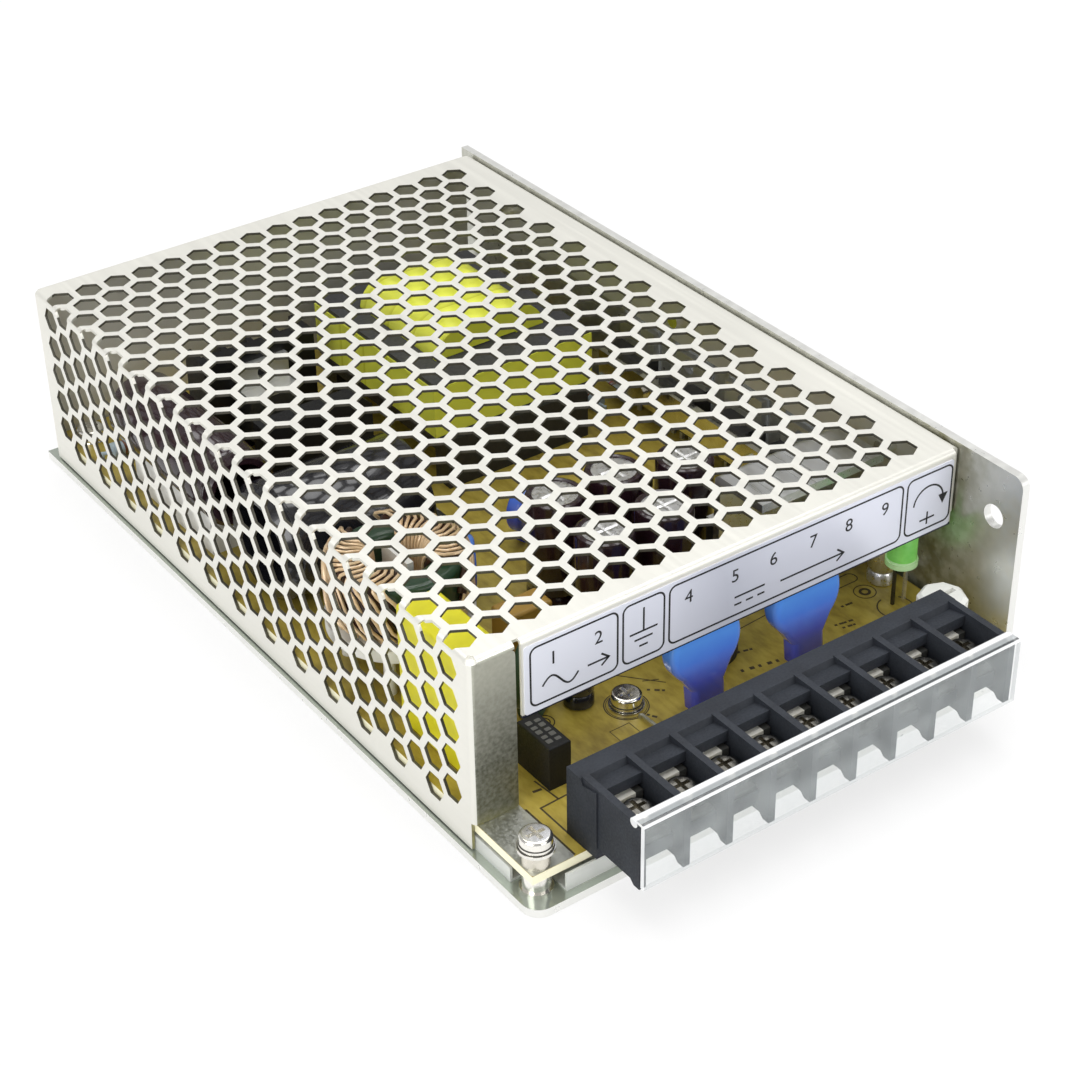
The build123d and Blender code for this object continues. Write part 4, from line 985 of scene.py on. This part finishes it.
def make_screw_shadows(ink):
    """Thin dark rings where the head, the washers and the bush of each board screw meet."""
    mesh = bmesh.new()
    a = low("board_screws")
    head_radius = 2.55 * MM
    bush_height = 2.8 * MM
    corner = Vector((a.x + head_radius, a.y + head_radius, BOARD_TOP + bush_height))
    ground = Vector((GROUND_SCREW[0] * MM, GROUND_SCREW[1] * MM, BOARD_TOP))
    bush_joint = (0.0, 2.32 * MM)
    washer_joints = [(0.5 * MM, 2.79 * MM), (1.1 * MM, 2.62 * MM)]
    depth = 0.1 * MM
    width = 0.18 * MM
    for foot, joints in ((corner, [bush_joint, *washer_joints]), (ground, washer_joints)):
        for height, radius in joints:
            place = Matrix.Translation(foot)
            add_band(mesh, place, height - width / 2, radius - depth, radius, width, 40)
    return piece("screw_shadows", mesh, ink)


def make_return_fold():
    """The rounded fold that closes the seam between the cover's top and its narrow return."""
    a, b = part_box("cover")
    outer = 0.9 * MM
    inner = 0.4 * MM
    centre_y = a.y + outer
    centre_z = b.z - outer
    section = arc(centre_y, centre_z, outer, 180, 90, 8) + arc(centre_y, centre_z, inner, 90, 180, 8)
    mesh = bmesh.new()
    ends = []
    return_left = a.x + 1.5 * MM
    return_right = a.x + 7.9 * MM
    for x in (return_left, return_right):
        ends.append([mesh.verts.new((x, y, z)) for y, z in section])
    count = len(section)
    for k in range(count):
        j = (k + 1) % count
        mesh.faces.new((ends[0][k], ends[0][j], ends[1][j], ends[1][k]))
    mesh.faces.new(ends[0])
    mesh.faces.new(ends[1])
    cap = [(0, -0.1), (0.6, -0.15), (1.1, -0.5), (1.1, -0.8), (0, -0.8)]
    outline = [(radius * MM, height * MM) for radius, height in cap]
    add_lathe(mesh, outline, Matrix.Translation((a.x + outer, centre_y, b.z)), 24)
    return piece("return_fold", mesh, bpy.data.materials["cover_sheet"])


def make_fuse_marks(ink):
    """Rows of plain bars on the fuse's top."""
    a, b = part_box("fuse")
    mesh = bmesh.new()
    place = Matrix.Translation((0, 0, b.z))
    half_width = 0.5 * MM
    for row in (0.3, 0.68):
        x = a.x + (b.x - a.x) * row
        for k in range(5):
            y = a.y + (b.y - a.y) * (0.14 + 0.155 * k)
            length = (0.72 + 0.192 * ((k + int(row * 10)) % 2)) * MM
            bar = rounded_outline(x - half_width, x + half_width, y, y + length, 0.15 * MM)
            add_patch(mesh, bar, place, PRINT_THICKNESS)
    return piece("fuse_marks", mesh, ink, smooth=False)


def make_wire_links(metal):
    """Bare wire links on the board's front part."""
    mesh = bmesh.new()
    wire_radius = 0.3 * MM
    bend = 0.4 * MM
    rise = mm(0, 0, 0.8)
    for x0, y0, x1, y1 in ((-12.6, -57.4, -12.4, -64.4), (27.0, -61.5, 33.5, -61.5)):
        start = Vector((x0 * MM, y0 * MM, BOARD_TOP))
        end = Vector((x1 * MM, y1 * MM, BOARD_TOP))
        along = (end - start).normalized() * bend
        points = [start, start + rise * 0.6, start + rise + along]
        points += [end + rise - along, end + rise * 0.6, end]
        add_tube(mesh, points, wire_radius, 8)
    return piece("wire_links", mesh, metal)


# Choke windings as turns of wire

CHOKE_TURNS = 15
CHOKE_WIRE = 0.3 * MM
CHOKE_SLANT = math.radians(15)
CHOKE_SPAN = math.radians(124)
CORE_WIDTH = 5.0 * MM
LOWER_LAYER = 0.45 * MM
LOWER_WIRE = 1.9


def make_choke_winding(side, name, node, shaded, bright):
    """Turns of wire in two layers, a shaded lower one and an upper one for the CAD winding."""
    core_low, core_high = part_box("choke_core")
    wound_high = high("choke_winding_left").z
    centre = (core_low + core_high) / 2
    middle = (core_high.x - core_low.x) / 2 - CORE_WIDTH / 2
    layers = [LOWER_LAYER, wound_high - core_high.z - CHOKE_WIRE]
    start = math.radians(0 if side > 0 else 180) - CHOKE_SPAN / 2
    per_turn = 28
    steps = CHOKE_TURNS * per_turn
    for layer, grow in enumerate(layers):
        mesh = bmesh.new()
        half_r = CORE_WIDTH / 2 + grow
        half_z = (core_high.z - core_low.z) / 2 + grow
        points = []
        for k in range(steps + 1):
            share = k / steps
            around = 2 * math.pi * k / per_turn
            c = math.cos(around)
            s = math.sin(around)
            r = middle + half_r * math.copysign(abs(c) ** 0.5, c)
            z = centre.z + half_z * math.copysign(abs(s) ** 0.5, s)
            turn = start + CHOKE_SPAN * (share if layer == 0 else 1 - share)
            turn += side * CHOKE_SLANT * 2 * s * max(0.0, c)
            points.append(Vector((centre.x + r * math.cos(turn), centre.y + r * math.sin(turn), z)))
        if layer == 0:
            add_tube(mesh, points, CHOKE_WIRE * LOWER_WIRE, 7)
            piece(name + "_lower", mesh, shaded)
        else:
            add_tube(mesh, points, CHOKE_WIRE, 7)
            upper = piece(name + "_upper", mesh, bright)
    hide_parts(node)


# Sealed cans: sleeve and grooved end


CAN_EDGE = 0.12
CAN_RIM = 1.9
CAN_END_DEPTH = 0.3 * MM


def add_can_sleeve(mesh, place, radius, length):
    """A shrunk sleeve with rounded edges and a groove near the can's foot."""
    edge = radius * CAN_EDGE
    inner = radius - edge * 2.2
    lip = length - 0.1 * MM
    lip_foot = length - 0.5 * MM
    outline = [
        (inner, 0.0),
        (radius - edge, 0.0),
        (radius, edge),
        (radius, 1.8 * MM),
        (radius - 0.4 * MM, 2.4 * MM),
        (radius, 3.0 * MM),
        (radius, length - edge),
        (radius - edge * 0.3, length - edge * 0.3),
        (radius - edge, length),
        (radius - edge * 1.8, lip),
        (radius - edge * CAN_RIM, lip_foot),
        (inner, lip_foot),
    ]
    add_lathe(mesh, outline, place, 56)


def add_can_end(mesh, place, radius):
    """A round end whose middle is pressed with a cross groove."""
    groove_depth = 0.16 * MM
    groove_width = 0.45 * MM
    groove_reach = radius * 0.72
    thickness = 0.6 * MM
    rings = 18
    steps = 72
    around = [2 * math.pi * k / steps for k in range(steps)]
    grid = []
    for i in range(1, rings + 1):
        r = radius * i / rings
        depth = groove_depth if r < groove_reach else 0.0
        ring = []
        for turn in around:
            u = r * math.cos(turn)
            v = r * math.sin(turn)
            near = min(abs(u), abs(v))
            sunk = -depth * max(0.0, 1 - near / groove_width)
            ring.append(mesh.verts.new(place @ Vector((u, v, sunk))))
        grid.append(ring)
    middle = mesh.verts.new(place @ Vector((0, 0, -groove_depth)))
    rim = [Vector((radius * math.cos(turn), radius * math.sin(turn), -thickness)) for turn in around]
    under = [mesh.verts.new(place @ corner) for corner in rim]
    for k in range(steps):
        j = (k + 1) % steps
        mesh.faces.new((middle, grid[0][k], grid[0][j]))
        for i in range(rings - 1):
            mesh.faces.new((grid[i][k], grid[i + 1][k], grid[i + 1][j], grid[i][j]))
        mesh.faces.new((grid[-1][k], under[k], under[j], grid[-1][j]))
    mesh.faces.new(list(reversed(under)))


def make_cans(name, node, places, radius, length, skin, metal):
    """Sleeves and ends for every can of a CAD node."""
    sleeves = bmesh.new()
    ends = bmesh.new()
    inset = radius * CAN_EDGE * CAN_RIM
    for place in places:
        add_can_sleeve(sleeves, place, radius, length)
        end_place = place @ Matrix.Translation((0, 0, length - CAN_END_DEPTH))
        add_can_end(ends, end_place, radius - inset)
    made = piece(name + "_sleeves", sleeves, skin)
    piece(name + "_ends", ends, metal)
    if node:
        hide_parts(node)


def upright_places(centres):
    return [Matrix.Translation((x * MM, y * MM, BOARD_TOP)) for x, y in centres]


OUTPUT_CANS = [(-3.5, -36.0), (8.6, -36.0), (-3.5, -22.5), (8.6, -22.5), (20.5, -26.5)]
SMALL_CANS = [(-18.0, -48.5), (29.0, -13.0), (-6.0, 66.0)]
BARE_CAN = (43.2, -52.0)
SMALL_RADIUS = 2.5 * MM
SMALL_LENGTH = 9.0 * MM


def make_upright_cans(dark, black, metal):
    outputs = upright_places(OUTPUT_CANS)
    make_cans("output_can", "output_capacitors", outputs, 5.0 * MM, 20.5 * MM, dark, metal)
    small = upright_places(SMALL_CANS)
    make_cans("small_can", "small_capacitors", small, SMALL_RADIUS, SMALL_LENGTH, black, metal)
    bare = upright_places([BARE_CAN])
    make_cans("bare_can", None, bare, SMALL_RADIUS, SMALL_LENGTH, metal, metal)


def make_lying_cans(dark, black, metal):
    """Two cans across the case and one along its left side."""
    across = Matrix.Rotation(math.pi / 2, 4, "Y")
    for name, node in (("bulk_can", "bulk_capacitor"), ("aux_can", "aux_capacitor")):
        a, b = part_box(node)
        place = Matrix.Translation((a.x, (a.y + b.y) / 2, (a.z + b.z) / 2)) @ across
        make_cans(name, node, [place], (b.y - a.y) / 2, b.x - a.x, black, metal)
    a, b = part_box("second_capacitor")
    along = Matrix.Rotation(-math.pi / 2, 4, "X")
    place = Matrix.Translation(((a.x + b.x) / 2, a.y, (a.z + b.z) / 2)) @ along
    make_cans("second_can", "second_capacitor", [place], (b.x - a.x) / 2, b.y - a.y, dark, metal)


# Small parts with printed bands

RESISTORS = [(-40.0, 62.0, 0), (-32.5, 69.5, 0), (-12.0, 64.5, 90), (38.5, 25.0, 90), (38.5, 55.5, 0)]
DIODES = [(-9.5, 3.5, 90), (-14.5, 40.0, 0), (24.0, -5.5, 0)]


def lying_place(x, y, height, turn):
    """A place above the board, in millimetres, whose local Z axis lies flat at a turn."""
    lying = Matrix.Rotation(math.radians(turn), 4, "Z") @ Matrix.Rotation(math.radians(90), 4, "Y")
    return Matrix.Translation((x * MM, y * MM, BOARD_TOP + height * MM)) @ lying


def make_resistor_bands(name, colour, radius, starts):
    """One colour of band round every lying resistor."""
    mesh = bmesh.new()
    inner = (radius - 0.1) * MM
    outer = (radius + 0.02) * MM
    for x, y, turn in RESISTORS:
        place = lying_place(x, y, 1.5, turn)
        for start in starts:
            add_band(mesh, place, start * MM, inner, outer, 0.5 * MM, 24)
    piece(name, mesh, moulded(name + "_ink", colour, 0.35))


def make_diode_bands():
    mesh = bmesh.new()
    for x, y, turn in DIODES:
        place = lying_place(x, y, 2.2, turn)
        add_band(mesh, place, 2.4 * MM, 2.1 * MM, 2.22 * MM, 1.0 * MM, 32)
    ink = moulded("band_grey_ink", (0.55, 0.55, 0.55), 0.4)
    piece("diode_bands", mesh, ink)


def make_details():
    ink = moulded("label_ink", (0.012, 0.012, 0.014), 0.5)
    board_ink = moulded("board_ink", (0.05, 0.035, 0.015), 0.6)
    metal = plated_metal("solder_metal", (0.62, 0.63, 0.58), 0.4, 0.00003)
    end_metal = plated_metal("can_end_metal", (0.90, 0.90, 0.90), 0.3)
    shaded = wire_enamel("shaded_copper", (0.03, 0.012, 0.006), (0.07, 0.025, 0.014))
    bright = wire_enamel("enamelled_copper", (0.72, 0.50, 0.28), (0.86, 0.66, 0.42))
    make_label_print(ink)
    make_board_print(board_ink)
    make_solder(metal)
    make_wire_links(metal)
    make_return_fold()
    make_screw_shadows(moulded("gap_shade", (0.03, 0.028, 0.02), 0.6))
    make_fuse_marks(moulded("faint_ink", (0.13, 0.13, 0.12), 0.6))
    make_choke_winding(-1, "choke_turns_left", "choke_winding_left", shaded, bright)
    make_choke_winding(1, "choke_turns_right", "choke_winding_right", shaded, bright)
    dark = sleeve_film("dark_sleeve", (0.03, 0.012, 0.018))
    black = sleeve_film("black_can_sleeve", (0.014, 0.014, 0.018))
    make_upright_cans(dark, black, end_metal)
    make_lying_cans(dark, black, end_metal)
    make_resistor_bands("band_brown", (0.16, 0.05, 0.02), 1.3, (-1.4, 0.9))
    make_resistor_bands("band_red", (0.5, 0.02, 0.02), 1.3, (-0.5,))
    make_resistor_bands("band_gold", (0.55, 0.38, 0.08), 1.5, (2.2,))
    make_diode_bands()


make_camera()
assign_materials()
make_details()
make_floor()
make_world()
make_lamps()
